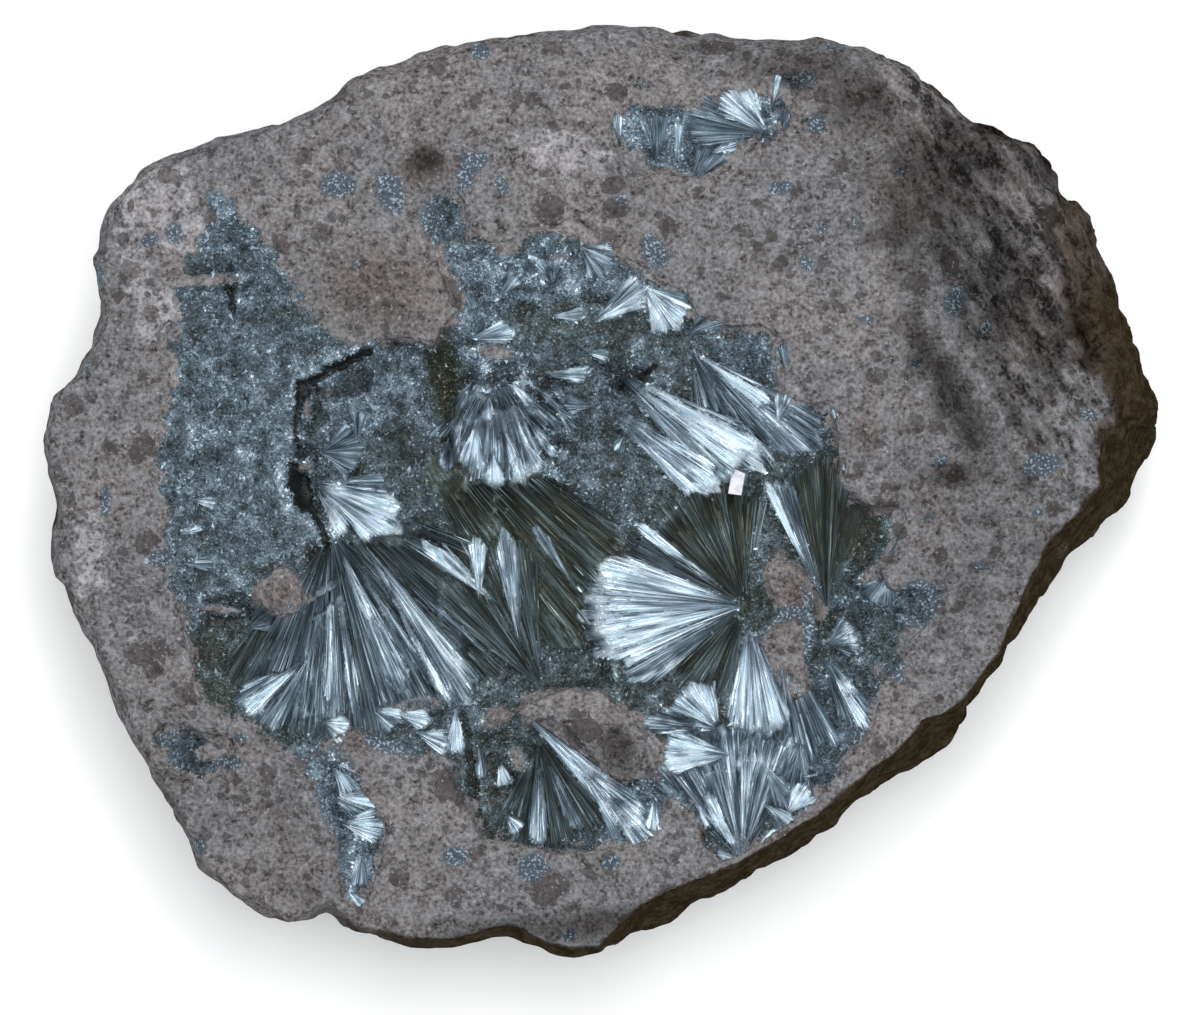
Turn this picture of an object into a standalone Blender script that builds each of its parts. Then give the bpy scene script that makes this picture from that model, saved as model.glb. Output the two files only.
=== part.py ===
"""Pyrolusite in matrix rock: a loose hand specimen with a vein crust and two smaller crusts.

Shapes are worked out in millimetres and become metres when a mesh is made. The face that carries
the crystals looks up (+Z), +X runs along the longest side, and the flat broken base lies at z = 0.
"""

import math
import random

import bpy
from mathutils import Vector, noise
from mathutils.geometry import delaunay_2d_cdt

MM = 0.001
SEED = 11

# Rock: driving heights and spacings.
CROWN = 49.0  # height of the middle of the face
DOME = 0.0011  # fall of the face, per mm squared from its middle
WAIST_DROP = 4.5  # least fall from the edge of the face to the rock's widest line
WAIST_SWAY = 3.5  # how far the widest line wanders below that
WALL_DROP = 10.0  # how much lower the widest line runs where the steep wall shows
MEAN_RADIUS = 60.0
OUTLINE_STEP = 3.3  # spacing of points along the rock's outline
FACE_STEP = 3.6  # spacing of points over the face
FACE_ROUGH = 0.55
GAP = 0.3  # clearance between a crust and its pocket
TOUCH = 0.001  # distance at which a point counts as on a line

# Crusts.
POCKET_FLOOR = 38.6
VEIN_STEP = 3.0
CRUST_STEP = 2.5
CRUST_ROUGH = 0.55

# The rock's widest outline, seen from above, counter-clockwise from its right tip: x, y, and how far
# the edge of the face lies inside it. The steep, dark wall shows where that is more than about 1 mm.
OUTLINE = [
    (70, 10, 1.0), (68.5, 14, 1.0), (66, 21, 1.0), (64, 26, 1.0), (61, 34, 1.0), (60, 36.5, 1.0),
    (58, 36.5, 1.0), (55, 41.5, 1.0), (53.5, 43.5, 1.0), (50, 45, 1.0), (46, 46.5, 1.0), (43, 50, 1.0),
    (40.5, 51.5, 1.0), (36.5, 54, 1.0), (30.5, 56.5, 1.0), (27.5, 57, 1.0), (25, 56.5, 1.0),
    (17.5, 56.5, 1.0), (14, 57.5, 1.0), (7.5, 58, 1.0), (4, 58.5, 1.0), (0.5, 58.5, 1.0),
    (-6.5, 57.5, 1.0), (-16.5, 56.5, 1.0), (-23, 54.5, 1.0), (-30.5, 52, 1.0), (-34.5, 49, 1.0),
    (-37.5, 47, 1.0), (-45, 45, 1.0), (-51.5, 43, 1.0), (-57, 40.5, 1.0), (-61, 37, 1.0),
    (-62, 35, 1.0), (-62.5, 31.5, 1.0), (-63.5, 29.5, 1.0), (-62.5, 22, 1.0), (-64, 17.5, 1.0),
    (-66.5, 14.5, 1.0), (-69, 11.5, 1.0), (-70, 8, 1.0), (-68.5, -1.5, 1.0), (-69, -5, 1.0),
    (-69, -10.5, 1.0), (-66, -14.5, 1.0), (-62.5, -22, 1.0), (-60.5, -28, 1.0), (-56.5, -35, 1.0),
    (-55, -38.5, 1.0), (-52.5, -42.5, 1.0), (-50, -47.5, 1.0), (-47, -50.5, 1.0), (-41.5, -53.5, 1.0),
    (-38.5, -54, 1.0), (-34, -52.5, 1.0), (-31, -55, 1.0), (-24, -57, 1.0), (-17.5, -57, 1.0),
    (-11.5, -55.5, 1.0), (-7, -57.5, 1.0), (-3, -58.5, 1.0), (0, -58, 0.8), (6, -55.5, 3.5),
    (12.5, -52, 3.0), (18, -48.5, 2.0), (24.5, -45, 2.3), (28.5, -42.5, 2.2), (31, -39.5, 2.0),
    (37.5, -35.5, 2.5), (43.5, -32.5, 5.0), (45.5, -30, 3.5), (46, -27, 0.8), (48, -24, 0.8),
    (51, -19.5, 0.8), (55, -14, 2.3), (58.5, -9, 3.2), (62.5, -4.5, 3.4), (65.5, -2, 4.0),
    (68.5, 3.5, 5.5), (69.5, 7.5, 4.0),
]

# The broken sides, below the widest line: how many flat facets cut them, and the share of the height
# down to the base at which each ring of points lies.
FACETS = 38
SIDE_SHARES = (0.12, 0.28, 0.44, 0.6, 0.75, 0.89, 1.0)
SIDE_SPREAD = 4  # points to each side over which the outline's notches fade out lower down
UNDERCUT = 10.0  # how far the base lies inside the outline

# Ridge from which the right side of the face falls away, and the steeper facet at the right tip.
RIDGE = ((32, 54), (44, 12), 0.42, 6.5)
TIP_FACET = ((56, 36.5), (64, 8), 0.75, 7.0)

# Hollows in the face: x, y, half length, half width, turn and depth.
PITS = [
    (45.3, 12.0, 6.5, 2.6, 105, 2.4), (11.0, 56.2, 4.8, 1.8, 0, 2.6), (50.0, 33.0, 1.8, 1.3, 80, 1.6),
    (53.5, 25.2, 1.8, 1.4, 40, 1.6), (4.3, -33.3, 2.8, 1.8, 75, 3.0), (-66.8, 1.2, 1.3, 0.8, 90, 0.9),
    (-59.5, -12.6, 5.5, 0.8, 8, 1.2), (-51.5, -36.2, 5.0, 1.1, -6, 1.3), (-31.0, 23.5, 1.0, 0.7, 30, 0.8),
]

MAIN_VEIN = [
    (-48.5, 41), (-50, 38), (-49.5, 35), (-50.5, 32), (-53, 27.5), (-54, 24), (-51.5, 21), (-54, 21),
    (-56, 19.5), (-53.5, 17.5), (-53.5, 13.5), (-56, 5), (-56, 0.5), (-54.5, -8.5), (-52.5, -15),
    (-50.5, -24), (-48.5, -27), (-44, -29.5), (-41, -32.5), (-35.5, -37), (-33, -43), (-32.5, -48),
    (-32, -51.5), (-29.8, -52), (-28.5, -48), (-27, -41.5), (-31.5, -35.5), (-34.5, -34.5),
    (-35.5, -31.5), (-31, -29.5), (-26, -31), (-22, -32.5), (-19, -34.5), (-17, -38.5), (-15.5, -43),
    (-10, -44), (-5, -45), (4.5, -44), (6.5, -42.5), (7.5, -39), (9, -37.5), (12, -41), (13, -44.5),
    (14.5, -46.3), (17, -45.2), (20.5, -43), (23.5, -41), (26.5, -39), (28.7, -36.6), (30.5, -33),
    (33.5, -30), (34.5, -25), (38.5, -18.5), (41, -15.5), (40.5, -12.5), (35.5, -12.5), (34.5, -10),
    (36.5, -7.5), (38, -2.5), (32, -1.5), (29.5, 1), (29.5, 8.5), (28.5, 11), (24, 11), (22.5, 13),
    (23, 19), (20.5, 20.5), (15.5, 20.5), (12, 22), (10, 25), (6.5, 26), (4, 28.5), (0, 29.5),
    (-1, 32.5), (-4.5, 34), (-6.5, 32.5), (-14, 30.5), (-16.5, 32.5), (-18, 38.5), (-20, 38),
    (-21.5, 31.5), (-19, 25.5), (-16.5, 23), (-20, 20), (-21, 18), (-24.5, 19), (-31.5, 19.5),
    (-35.5, 21), (-37.5, 23.5), (-38.5, 26), (-39, 28.5), (-43.5, 33.5), (-46, 37.5),
]
LEFT_ISLAND = [
    (-43, -13), (-42, -15), (-40, -16), (-37.5, -15), (-37, -12.5), (-37.5, -11), (-40, -10), (-42.5, -11),
]
LOWER_ISLAND = [
    (-9.5, -29), (-6.5, -28.5), (-4.5, -30), (-2, -32.5), (0, -35), (3, -36), (6, -35.5), (8, -34),
    (8, -31.5), (5, -29.5), (3, -27), (0, -25), (-4, -25), (-8.5, -26), (-11.5, -27.5),
]
RIGHT_ISLAND = [
    (21, -12), (22, -14.5), (20.5, -16.5), (19.5, -18.5), (21, -21.5), (22.5, -24), (24.5, -26),
    (26.5, -25), (25.5, -22), (27, -18.5), (26.5, -15), (27, -11.5), (25.5, -9.5), (23, -8), (20.5, -9),
]
UPPER_SPRAY = [
    (1.5, 47), (1.5, 44), (2.5, 41.5), (6.5, 40), (11, 39), (14, 40), (17, 41.5), (19, 43.5), (23, 44.5),
    (23.5, 47.5), (23, 52), (21, 52), (19.5, 50), (16, 49.5), (12.5, 49), (9, 48.5), (7.5, 51.5),
    (4.5, 52),
]
LEFT_PATCH = [
    (-56, -29.5), (-55, -32.5), (-53, -35), (-50, -36), (-47, -35), (-46, -32.5), (-46.5, -30.5),
    (-49.5, -30), (-52.5, -29.2),
]

# Levels of the crust below the face: x, y, half length, half width, turn, level and softness of the edge.
LEVELS = [
    (-33, -18, 17, 11, 0, -3.0, 0.25), (-29, 11, 11, 9, 0, -2.6, 0.2), (-38, 1.5, 6.5, 3.2, 95, -6.5, 0.4),
    (-33.5, 15.0, 5.6, 2.0, 28, -4.8, 0.35), (-34.3, -14.6, 2.8, 1.0, 34, -4.5, 0.3),
    (-9, 25, 13, 8, 0, -1.2, 0.3), (-12.5, 8, 8.5, 8.5, 0, -0.6, 0.12),
    (-19.2, 14, 5.5, 2.1, 100, -5.2, 0.3), (3.5, 13.4, 2.4, 1.5, 60, -4.6, 0.3),
    (-8, -12.5, 17, 12.5, -20, -4.3, 0.2), (28.7, -5, 12, 5, 95, -3.4, 0.2), (-8, -38, 11, 7, 0, -2.7, 0.2),
    (16, -38, 11, 8, 40, -2.1, 0.2), (25, -29, 7, 7, 0, -2.2, 0.3), (-31, -44, 9, 4, 80, -1.0, 0.3),
]
BASE_LEVEL = -1.5

# The high granular slab on the left ends to its right in a broken ledge, from its top to its foot.
LEDGE = [
    (-28.3, 17.7), (-32, 16.4), (-35.2, 14.4), (-37.3, 13), (-38.2, 11), (-37.8, 6.4), (-39.3, 4.6),
    (-39.8, 2), (-39, -1), (-36.2, -3.6), (-34, -6.5),
]
SLAB_REST = [
    (-37, -12), (-44, -13.5), (-54, -13), (-61, -8), (-61, 25), (-50, 45), (-40, 36), (-36, 24), (-30, 20),
]
SLAB_LEVEL = -0.5

# Sprays of blades: apex x, y, opening from and to (degrees), inner and outer radius, blades, and the level
# of the crust at the apex and at the tips. A later spray lies over an earlier one.
SPRAYS = [
    (-34.0, 22.0, -58, -38, 31.0, 52.0, 11, -4.4, -4.0), (-0.8, 20.2, 30, 54, 0.8, 8.0, 4, -1.5, -0.4),
    (11.0, 20.3, 138, 176, 0.8, 6.2, 4, -1.5, -0.5), (-36.0, 3.6, -12, 26, 0.8, 7.0, 4, -4.6, -2.3),
    (-34.0, -4.8, -113, -42, 3.0, 26.0, 13, -4.2, -1.9), (-7.3, -24.8, 98, 142, 2.0, 18.5, 8, -3.6, -3.0),
    (-7.7, -30.4, -92, -38, 1.5, 13.2, 8, -3.2, -1.9), (28.0, -18.6, 72, 108, 2.0, 18.5, 6, -3.2, -3.2),
    (11.7, 18.3, -84, -32, 1.5, 15.5, 9, -1.9, -0.9), (18.0, -14.2, 84, 150, 2.0, 14.5, 9, -3.0, -3.3),
    (18.0, -14.2, 216, 250, 2.0, 12.5, 5, -3.0, -2.7), (1.0, 15.2, -49, -27, 5.0, 21.0, 7, -2.4, -0.3),
    (-14.0, 15.2, -118, -55, 4.0, 15.0, 9, -1.6, -0.8), (-35.8, 0.2, -50, -4, 1.0, 9.8, 6, -5.2, -2.4),
    (17.0, -45.4, 64, 122, 1.5, 13.0, 8, -2.0, -1.2), (6.0, -30.4, -4, 52, 1.0, 8.8, 5, -2.4, -1.0),
    (18.3, -15.8, 256, 290, 1.5, 14.5, 6, -2.6, -1.0), (16.7, -32.7, 167, 198, 1.0, 8.6, 5, -2.2, -0.7),
    (29.0, -20.4, -75, -50, 1.0, 8.2, 4, -2.2, -0.8), (27.9, -14.5, 110, 119, 1.5, 17.5, 3, -2.8, -0.8),
    (18.0, -14.2, 161, 216, 1.5, 19.5, 12, -2.8, -0.6),
]
UPPER_SPRAYS = [
    (8.0, 40.6, 58, 118, 1.0, 7.0, 6, -1.4, -0.6), (20.8, 44.9, 100, 152, 0.8, 5.2, 5, -1.2, -0.3),
    (3.2, 42.4, 88, 112, 0.8, 6.0, 3, -1.4, -0.7),
]
RIB = 0.45  # half height of a blade's ridge over the hollow beside it
STEP_FOOT = 0.45  # run of the broken step at a spray's tips

COLOURS = {
    "matrix": ((0.13, 0.12, 0.125, 1.0), 0.85, 0.0),
    "main_vein": ((0.28, 0.33, 0.37, 1.0), 0.38, 0.85),
    "upper_spray": ((0.36, 0.42, 0.46, 1.0), 0.36, 0.85),
    "left_patch": ((0.12, 0.15, 0.2, 1.0), 0.42, 0.8),
}


def clear_scene():
    for item in list(bpy.data.objects):
        bpy.data.objects.remove(item, do_unlink=True)


def smooth(low, high, value):
    t = min(1.0, max(0.0, (value - low) / (high - low)))
    return t * t * (3 - 2 * t)


def rough(x, y, size, z=0.0):
    """Smooth noise from about -1 to 1, with lumps of the given size in mm."""
    return noise.noise(Vector((x / size, y / size, z / size + SEED)))


def oval(x, y, cx, cy, half_length, half_width, turn):
    """Distance from an oval's middle, as 1 on its rim."""
    angle = math.radians(turn)
    dx = x - cx
    dy = y - cy
    along = dx * math.cos(angle) + dy * math.sin(angle)
    across = dy * math.cos(angle) - dx * math.sin(angle)
    return math.hypot(along / half_length, across / half_width)


def beyond(x, y, line):
    """Distance past the right-hand side of a line from its first point to its second."""
    (ax, ay), (bx, by) = line
    length = math.hypot(bx - ax, by - ay)
    return ((x - ax) * (ay - by) + (y - ay) * (bx - ax)) / length


def face(x, y):
    """Height of the broken face, before a pocket is cut in it."""
    height = CROWN - DOME * (x * x + y * y)
    fade = smooth(-2, 13, y)
    for start, end, slope, most in (RIDGE, TIP_FACET):
        fall = slope * max(0.0, beyond(x, y, (start, end)))
        height -= fade * most * math.tanh(fall / most)
    height -= 0.3 * max(0.0, y - 49)
    for cx, cy, half_length, half_width, turn, depth in PITS:
        height -= depth * smooth(1.25, 0.35, oval(x, y, cx, cy, half_length, half_width, turn))
    return height + FACE_ROUGH * (rough(x, y, 9) + 0.7 * rough(x, y, 4))


def spray_tip(angle_share, blades, reach):
    """Reach of a spray at a share of its opening: longest on a blade's ridge."""
    ridge = abs(math.sin(math.pi * blades * angle_share))
    blade = min(blades - 1, int(blades * angle_share))
    return reach * (0.88 + 0.1 * ridge + 0.05 * math.sin(2.4 * blade + reach))


def on_spray(x, y, spray):
    """Level of the crust where the spray covers this place, and None where it doesn't."""
    cx, cy, start, end, inner, reach, blades, apex_level, tip_level = spray
    radius = math.hypot(x - cx, y - cy)
    angle = math.degrees(math.atan2(y - cy, x - cx))
    share = ((angle - start) % 360) / (end - start)
    if radius < 0.9 * inner or share > 1.0:
        return None
    tip = spray_tip(share, blades, reach)
    if radius > tip + 0.02:
        return None
    along = min(1.0, radius / tip)
    ridge = abs(math.sin(math.pi * blades * share)) - 0.5
    lift = 0.35 * math.sin(3.7 * int(blades * share))
    width = min(1.0, radius * math.radians(end - start) / blades / 1.2)
    return apex_level + (tip_level - apex_level) * along + 2 * RIB * ridge * width + lift * along


def crust_level(x, y, sprays):
    level = BASE_LEVEL
    for cx, cy, half_length, half_width, turn, depth, soft in LEVELS:
        share = smooth(1 + soft, 1 - soft, oval(x, y, cx, cy, half_length, half_width, turn))
        level += share * (depth - level)
    slab = LEDGE + SLAB_REST
    if contains(slab, x, y) or distance_to(slab, x, y) < 0.02:
        level = SLAB_LEVEL
    level += CRUST_ROUGH * (rough(x, y, 5) + 1.1 * rough(x, y, 2.2))
    for spray in sprays:
        found = on_spray(x, y, spray)
        if found is not None:
            level = found
    return min(level, 0.4)


def polar(cx, cy, radius, degrees):
    angle = math.radians(degrees)
    return (cx + radius * math.cos(angle), cy + radius * math.sin(angle))


def spray_lines(spray):
    """Creases of a spray, as rows of points: each blade's ridge and hollows, and the step at the tips."""
    cx, cy, start, end, inner, reach, blades, _, _ = spray
    rows = []
    tips = []
    feet = []
    for half in range(2 * blades + 1):
        share = min(half / (2 * blades), 0.999)
        angle = start + (end - start) * share
        tip = spray_tip(share, blades, reach)
        rows.append([polar(cx, cy, inner + (tip - inner) * t, angle) for t in (0.0, 0.5, 1.0)])
        tips.append(polar(cx, cy, tip, angle))
        feet.append(polar(cx, cy, tip + STEP_FOOT, angle))
    return rows + [tips, feet]


def contains(loop, x, y):
    inside = False
    for (ax, ay), (bx, by) in zip(loop, loop[1:] + loop[:1]):
        if (ay > y) != (by > y) and x < (bx - ax) * (y - ay) / (by - ay) + ax:
            inside = not inside
    return inside


def distance_to(loop, x, y):
    """Distance from a place to the nearest side of a loop."""
    nearest = 1e9
    for (ax, ay), (bx, by) in zip(loop, loop[1:] + loop[:1]):
        length = (bx - ax) ** 2 + (by - ay) ** 2
        t = min(1.0, max(0.0, ((x - ax) * (bx - ax) + (y - ay) * (by - ay)) / length))
        nearest = min(nearest, math.hypot(x - ax - t * (bx - ax), y - ay - t * (by - ay)))
    return nearest


def inward(loop, index):
    """Inward direction at a corner of a counter-clockwise loop, lengthened so both sides move alike."""
    ax, ay = loop[index - 1]
    bx, by = loop[index]
    cx, cy = loop[(index + 1) % len(loop)]
    first = Vector((ay - by, bx - ax)).normalized()
    second = Vector((by - cy, cx - bx)).normalized()
    middle = (first + second).normalized()
    return middle / max(0.6, middle.dot(first))


def inset(loop, distance):
    moved = []
    for index, (x, y) in enumerate(loop):
        way = inward(loop, index)
        moved.append((x + way.x * distance, y + way.y * distance))
    return moved


def ragged(loop, step, sway):
    """The loop with its long sides split into uneven pieces, as a broken edge is."""
    split = []
    for (ax, ay), (bx, by) in zip(loop, loop[1:] + loop[:1]):
        length = math.hypot(bx - ax, by - ay)
        pieces = max(1, round(length / step))
        for piece in range(pieces):
            t = piece / pieces
            x = ax + (bx - ax) * t
            y = ay + (by - ay) * t
            push = sway * rough(x, y, 1.7) if piece else 0.0
            split.append((x + push * (ay - by) / length, y + push * (bx - ax) / length))
    return split


def scattered(loops, step, clear, rng):
    """Uneven points inside the first loop, outside the others, and clear of all their sides."""
    xs = [x for x, _ in loops[0]]
    ys = [y for _, y in loops[0]]
    points = []
    row = 0
    y = min(ys)
    while y < max(ys):
        x = min(xs) + (row % 2) * step / 2
        while x < max(xs):
            px = x + rng.uniform(-0.3, 0.3) * step
            py = y + rng.uniform(-0.3, 0.3) * step
            x += step
            if not contains(loops[0], px, py) or any(contains(hole, px, py) for hole in loops[1:]):
                continue
            if min(distance_to(loop, px, py) for loop in loops) > clear:
                points.append((px, py))
        y += step * 0.87
        row += 1
    return points


class Sheet:
    """Points and edges that a flat triangulation keeps."""

    def __init__(self):
        self.points = []
        self.edges = []

    def add(self, rows, closed):
        """Adds a row of points joined by edges, and returns the place of its first point."""
        first = len(self.points)
        self.points += rows
        self.edges += [(first + i, first + i + 1) for i in range(len(rows) - 1)]
        if closed:
            self.edges.append((first + len(rows) - 1, first))
        return first

    def triangles(self, keep):
        """Corner places, triangles whose middle passes the test, and where each point went."""
        flat = [Vector(point) for point in self.points]
        corners, _, faces, origins, _, _ = delaunay_2d_cdt(flat, self.edges, [], 0, 1e-5)
        went = {}
        for new, olds in enumerate(origins):
            for old in olds:
                went[old] = new
        kept = []
        for corner in faces:
            x = sum(corners[i].x for i in corner) / 3
            y = sum(corners[i].y for i in corner) / 3
            if keep(x, y):
                kept.append(tuple(corner))
        return [(point.x, point.y) for point in corners], kept, went


def open_edges(faces):
    """Sides that only one triangle has, in its own direction."""
    sides = {(a, b) for corner in faces for a, b in zip(corner, corner[1:] + corner[:1])}
    return [(a, b) for a, b in sorted(sides) if (b, a) not in sides]


class Pocket:
    """A crust's outline in the rock, with the islands of rock that rise inside it."""

    def __init__(self, outline, islands, sprays):
        self.outline = ragged(outline, VEIN_STEP, 0.5)
        self.islands = [ragged(island, VEIN_STEP, 0.4) for island in islands]
        self.sprays = sprays

    def loops(self, distance):
        """The outline moved inwards and the islands outwards."""
        return [inset(self.outline, distance)] + [inset(island, -distance) for island in self.islands]

    def holds(self, x, y, loops):
        return contains(loops[0], x, y) and not any(contains(hole, x, y) for hole in loops[1:])


def broken_facets(radii, rng):
    """Flat facets of the sides: the outward direction and a point of each."""
    facets = []
    for index in range(FACETS):
        compass = math.tau * (index + rng.uniform(-0.4, 0.4)) / FACETS
        height = rng.uniform(4, 14) if index % 2 else rng.uniform(18, 36)
        tilt = math.radians(rng.uniform(22, 48) if index % 2 else rng.uniform(-5, 13))
        radius = radii(compass) - rng.uniform(-0.6, 2.4) - UNDERCUT * (1 - height / CROWN) ** 3
        away = Vector((math.cos(compass), math.sin(compass), 0))
        down = Vector((0, 0, -1))
        facets.append((away * math.cos(tilt) + down * math.sin(tilt), away * radius - down * height))
    return facets


def side_radius(compass, z, radius, facets):
    """Distance of the broken side from the upright axis: up to a radius, or to the first facet met."""
    away = Vector((math.cos(compass), math.sin(compass), 0))
    for out, anchor in facets:
        slope = away.dot(out)
        if slope > 0.3:
            radius = min(radius, (anchor.dot(out) - z * out.z) / slope)
    return radius


def rim_points(x, y, wall, way):
    """Points of one place on the outline, from the edge of the face down to the widest line."""
    steep = smooth(1.0, 3.0, wall)
    top = face(x + way.x * wall, y + way.y * wall)
    waist = top - WAIST_DROP - WAIST_SWAY * (1 + rough(x, y, 13)) - steep * (WALL_DROP + 2 * rough(x, y, 5))
    shelf = 0.55 + 0.35 * rough(x, y, 4, 7)
    insets = (
        (wall, top),
        (wall - 0.4 + 0.05 * steep, top - 1.0 - 0.8 * steep),
        (shelf * wall * steep, top - 1 - (top - waist) * (0.3 + 0.2 * steep)),
        (0.0, waist),
    )
    return [(x + way.x * inside, y + way.y * inside, z) for inside, z in insets]


def side_roughness(compass, z):
    x = MEAN_RADIUS * math.cos(compass)
    y = MEAN_RADIUS * math.sin(compass)
    return 1.1 * rough(x, y, 9, z) + 0.6 * rough(x, y, 3.5, z) - 0.4


def wall_rings(outline, rng):
    """Rings of points from the edge of the face down to the base. Below the widest line every other ring
    is turned by half a step, so that no upright flutes form."""
    loop = [(x, y) for x, y, _ in outline]
    count = len(outline)
    spread = range(-SIDE_SPREAD, SIDE_SPREAD + 1)
    calm = [sum(math.hypot(*loop[(i + k) % count]) for k in spread) / len(spread) for i in range(count)]
    angles = [math.atan2(y, x) for x, y in loop]

    def calm_radius(compass):
        turned = [abs(math.remainder(angle - compass, math.tau)) for angle in angles]
        return calm[turned.index(min(turned))]

    facets = broken_facets(calm_radius, rng)
    rims = [rim_points(x, y, wall, inward(loop, i)) for i, (x, y, wall) in enumerate(outline)]
    rings = [list(ring) for ring in zip(*rims)]
    for number, share in enumerate(SIDE_SHARES):
        half = 0.5 * ((number + 1) % 2)
        ring = []
        for i in range(count):
            j = (i + 1) % count
            compass = angles[i] + half * math.remainder(angles[j] - angles[i], math.tau)
            radius = math.hypot(*loop[i]) * (1 - half) + math.hypot(*loop[j]) * half
            z = rims[i][-1][2] * (1 - share) + (rng.uniform(-0.9, 0.9) if share < 1 else 0.0)
            fade = smooth(0.0, 0.9, share)
            radius += (calm[i] - radius) * fade - UNDERCUT * share ** 3
            radius += (side_radius(compass, z, radius, facets) - radius) * smooth(-0.1, 0.5, share)
            radius += fade * side_roughness(compass, z)
            ring.append((math.cos(compass) * radius, math.sin(compass) * radius, z))
        rings.append(ring)
    return rings


def ragged_outline():
    """The rock's outline at its working spacing, with the width of the wall carried along."""
    split = []
    for index, (x, y, wall) in enumerate(OUTLINE):
        nx, ny, next_wall = OUTLINE[(index + 1) % len(OUTLINE)]
        length = math.hypot(nx - x, ny - y)
        pieces = max(1, round(length / OUTLINE_STEP))
        for piece in range(pieces):
            t = piece / pieces
            px = x + (nx - x) * t
            py = y + (ny - y) * t
            push = 0.35 * rough(px, py, 1.9) if piece else 0.0
            px += push * (y - ny) / length
            py += push * (nx - x) / length
            split.append((px, py, wall + (next_wall - wall) * t))
    return split


def pit_points():
    """The middle of each hollow in the face, and six places round its rim."""
    points = []
    for cx, cy, half_length, half_width, turn, _ in PITS:
        points.append((cx, cy))
        for step in range(6):
            dx, dy = polar(0, 0, half_length * math.cos(step * math.pi / 3), turn)
            ex, ey = polar(0, 0, half_width * math.sin(step * math.pi / 3), turn + 90)
            points.append((cx + dx + ex, cy + dy + ey))
    return points


def face_sheet(edge, pockets, rng):
    """The face with its pockets: corners, triangles, and where the edge's points went."""
    sheet = Sheet()
    sheet.add(edge, True)
    rims = [loop for pocket in pockets for loop in pocket.loops(0.0)]
    feet = [(pocket, pocket.loops(GAP)) for pocket in pockets]
    for loop in rims + [loop for _, loops in feet for loop in loops]:
        sheet.add(loop, True)
    for x, y in scattered([edge], FACE_STEP, 1.5, rng):
        in_pocket = any(pocket.holds(x, y, pocket.loops(0.0)) for pocket in pockets)
        if not in_pocket and min(distance_to(loop, x, y) for loop in rims) > 1.3:
            sheet.points.append((x, y))
    sheet.points += [(x, y) for x, y in pit_points() if contains(edge, x, y) and distance_to(edge, x, y) > 0.8]
    places, faces, went = sheet.triangles(lambda x, y: contains(edge, x, y))
    points = []
    for x, y in places:
        sunk = any(
            pocket.holds(x, y, loops) or min(distance_to(loop, x, y) for loop in loops) < TOUCH
            for pocket, loops in feet
        )
        points.append((x, y, POCKET_FLOOR if sunk else face(x, y)))
    return points, faces, went


def make_material(name):
    colour, roughness, metallic = COLOURS[name]
    material = bpy.data.materials.new(name)
    material.use_nodes = True
    shader = material.node_tree.nodes["Principled BSDF"]
    shader.inputs["Base Color"].default_value = colour
    shader.inputs["Roughness"].default_value = roughness
    shader.inputs["Metallic"].default_value = metallic
    material.diffuse_color = colour
    return material


def make_object(name, points, faces):
    mesh = bpy.data.meshes.new(name)
    mesh.from_pydata([tuple(c * MM for c in point) for point in points], [], faces)
    mesh.validate()
    mesh.materials.append(make_material(name))
    item = bpy.data.objects.new(name, mesh)
    bpy.context.scene.collection.objects.link(item)
    return item


def band(upper, lower, lead):
    """Triangles between two rings. The lower ring is level with the upper (0), or half a step ahead (1)
    or behind it (-1)."""
    faces = []
    for i, high in enumerate(upper):
        j = (i + 1) % len(upper)
        if lead == 1:
            faces += [(high, lower[i], upper[j]), (lower[i], lower[j], upper[j])]
        elif lead == -1:
            faces += [(high, lower[j], upper[j]), (high, lower[i], lower[j])]
        else:
            faces += [(high, lower[i], lower[j]), (high, lower[j], upper[j])]
    return faces


def make_matrix(pockets, rng):
    rings = wall_rings(ragged_outline(), rng)
    edge = [(x, y) for x, y, _ in rings[0]]
    points, faces, went = face_sheet(edge, pockets, rng)
    upper = [went[index] for index in range(len(edge))]
    turned_from = len(rings) - len(SIDE_SHARES)
    for number, ring in enumerate(rings[1:], start=1):
        lower = list(range(len(points), len(points) + len(ring)))
        points += ring
        lead = 0 if number < turned_from else 1 - 2 * ((number - turned_from) % 2)
        faces += band(upper, lower, lead)
        upper = lower
    base_loop = [(x, y) for x, y, _ in rings[-1]]
    base = Sheet()
    base.add(base_loop, True)
    _, base_faces, base_went = base.triangles(lambda x, y: contains(base_loop, x, y))
    back = {new: upper[old] for old, new in base_went.items()}
    faces += [tuple(back[i] for i in reversed(corner)) for corner in base_faces]
    return make_object("matrix", points, faces)


def stretches(row, pocket, loops):
    """The parts of a row of points that lie in the pocket."""
    runs = [[]]
    for x, y in row:
        if pocket.holds(x, y, loops):
            runs[-1].append((x, y))
        elif runs[-1]:
            runs.append([])
    return [run for run in runs if run]


def crust_sheet(pocket, loops, rng):
    """The crust seen from above: its rim, the creases of its sprays, its ledge and points between."""
    sheet = Sheet()
    for loop in loops:
        sheet.add(loop, True)
    inside = [inset(loops[0], 0.5)] + [inset(loop, -0.5) for loop in loops[1:]]
    slab = LEDGE + SLAB_REST
    rows = [row for spray in pocket.sprays for row in spray_lines(spray)]
    rows += [LEDGE, inset(slab, -STEP_FOOT)[1:len(LEDGE) - 1]]
    for row in rows:
        for run in stretches(row, pocket, inside):
            sheet.add(run, False)
    for x, y in scattered(loops, CRUST_STEP, 0.9, rng):
        on_a_spray = any(on_spray(x, y, spray) is not None for spray in pocket.sprays)
        if not on_a_spray and distance_to(slab, x, y) > 0.7:
            sheet.points.append((x, y))
    return sheet


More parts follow.
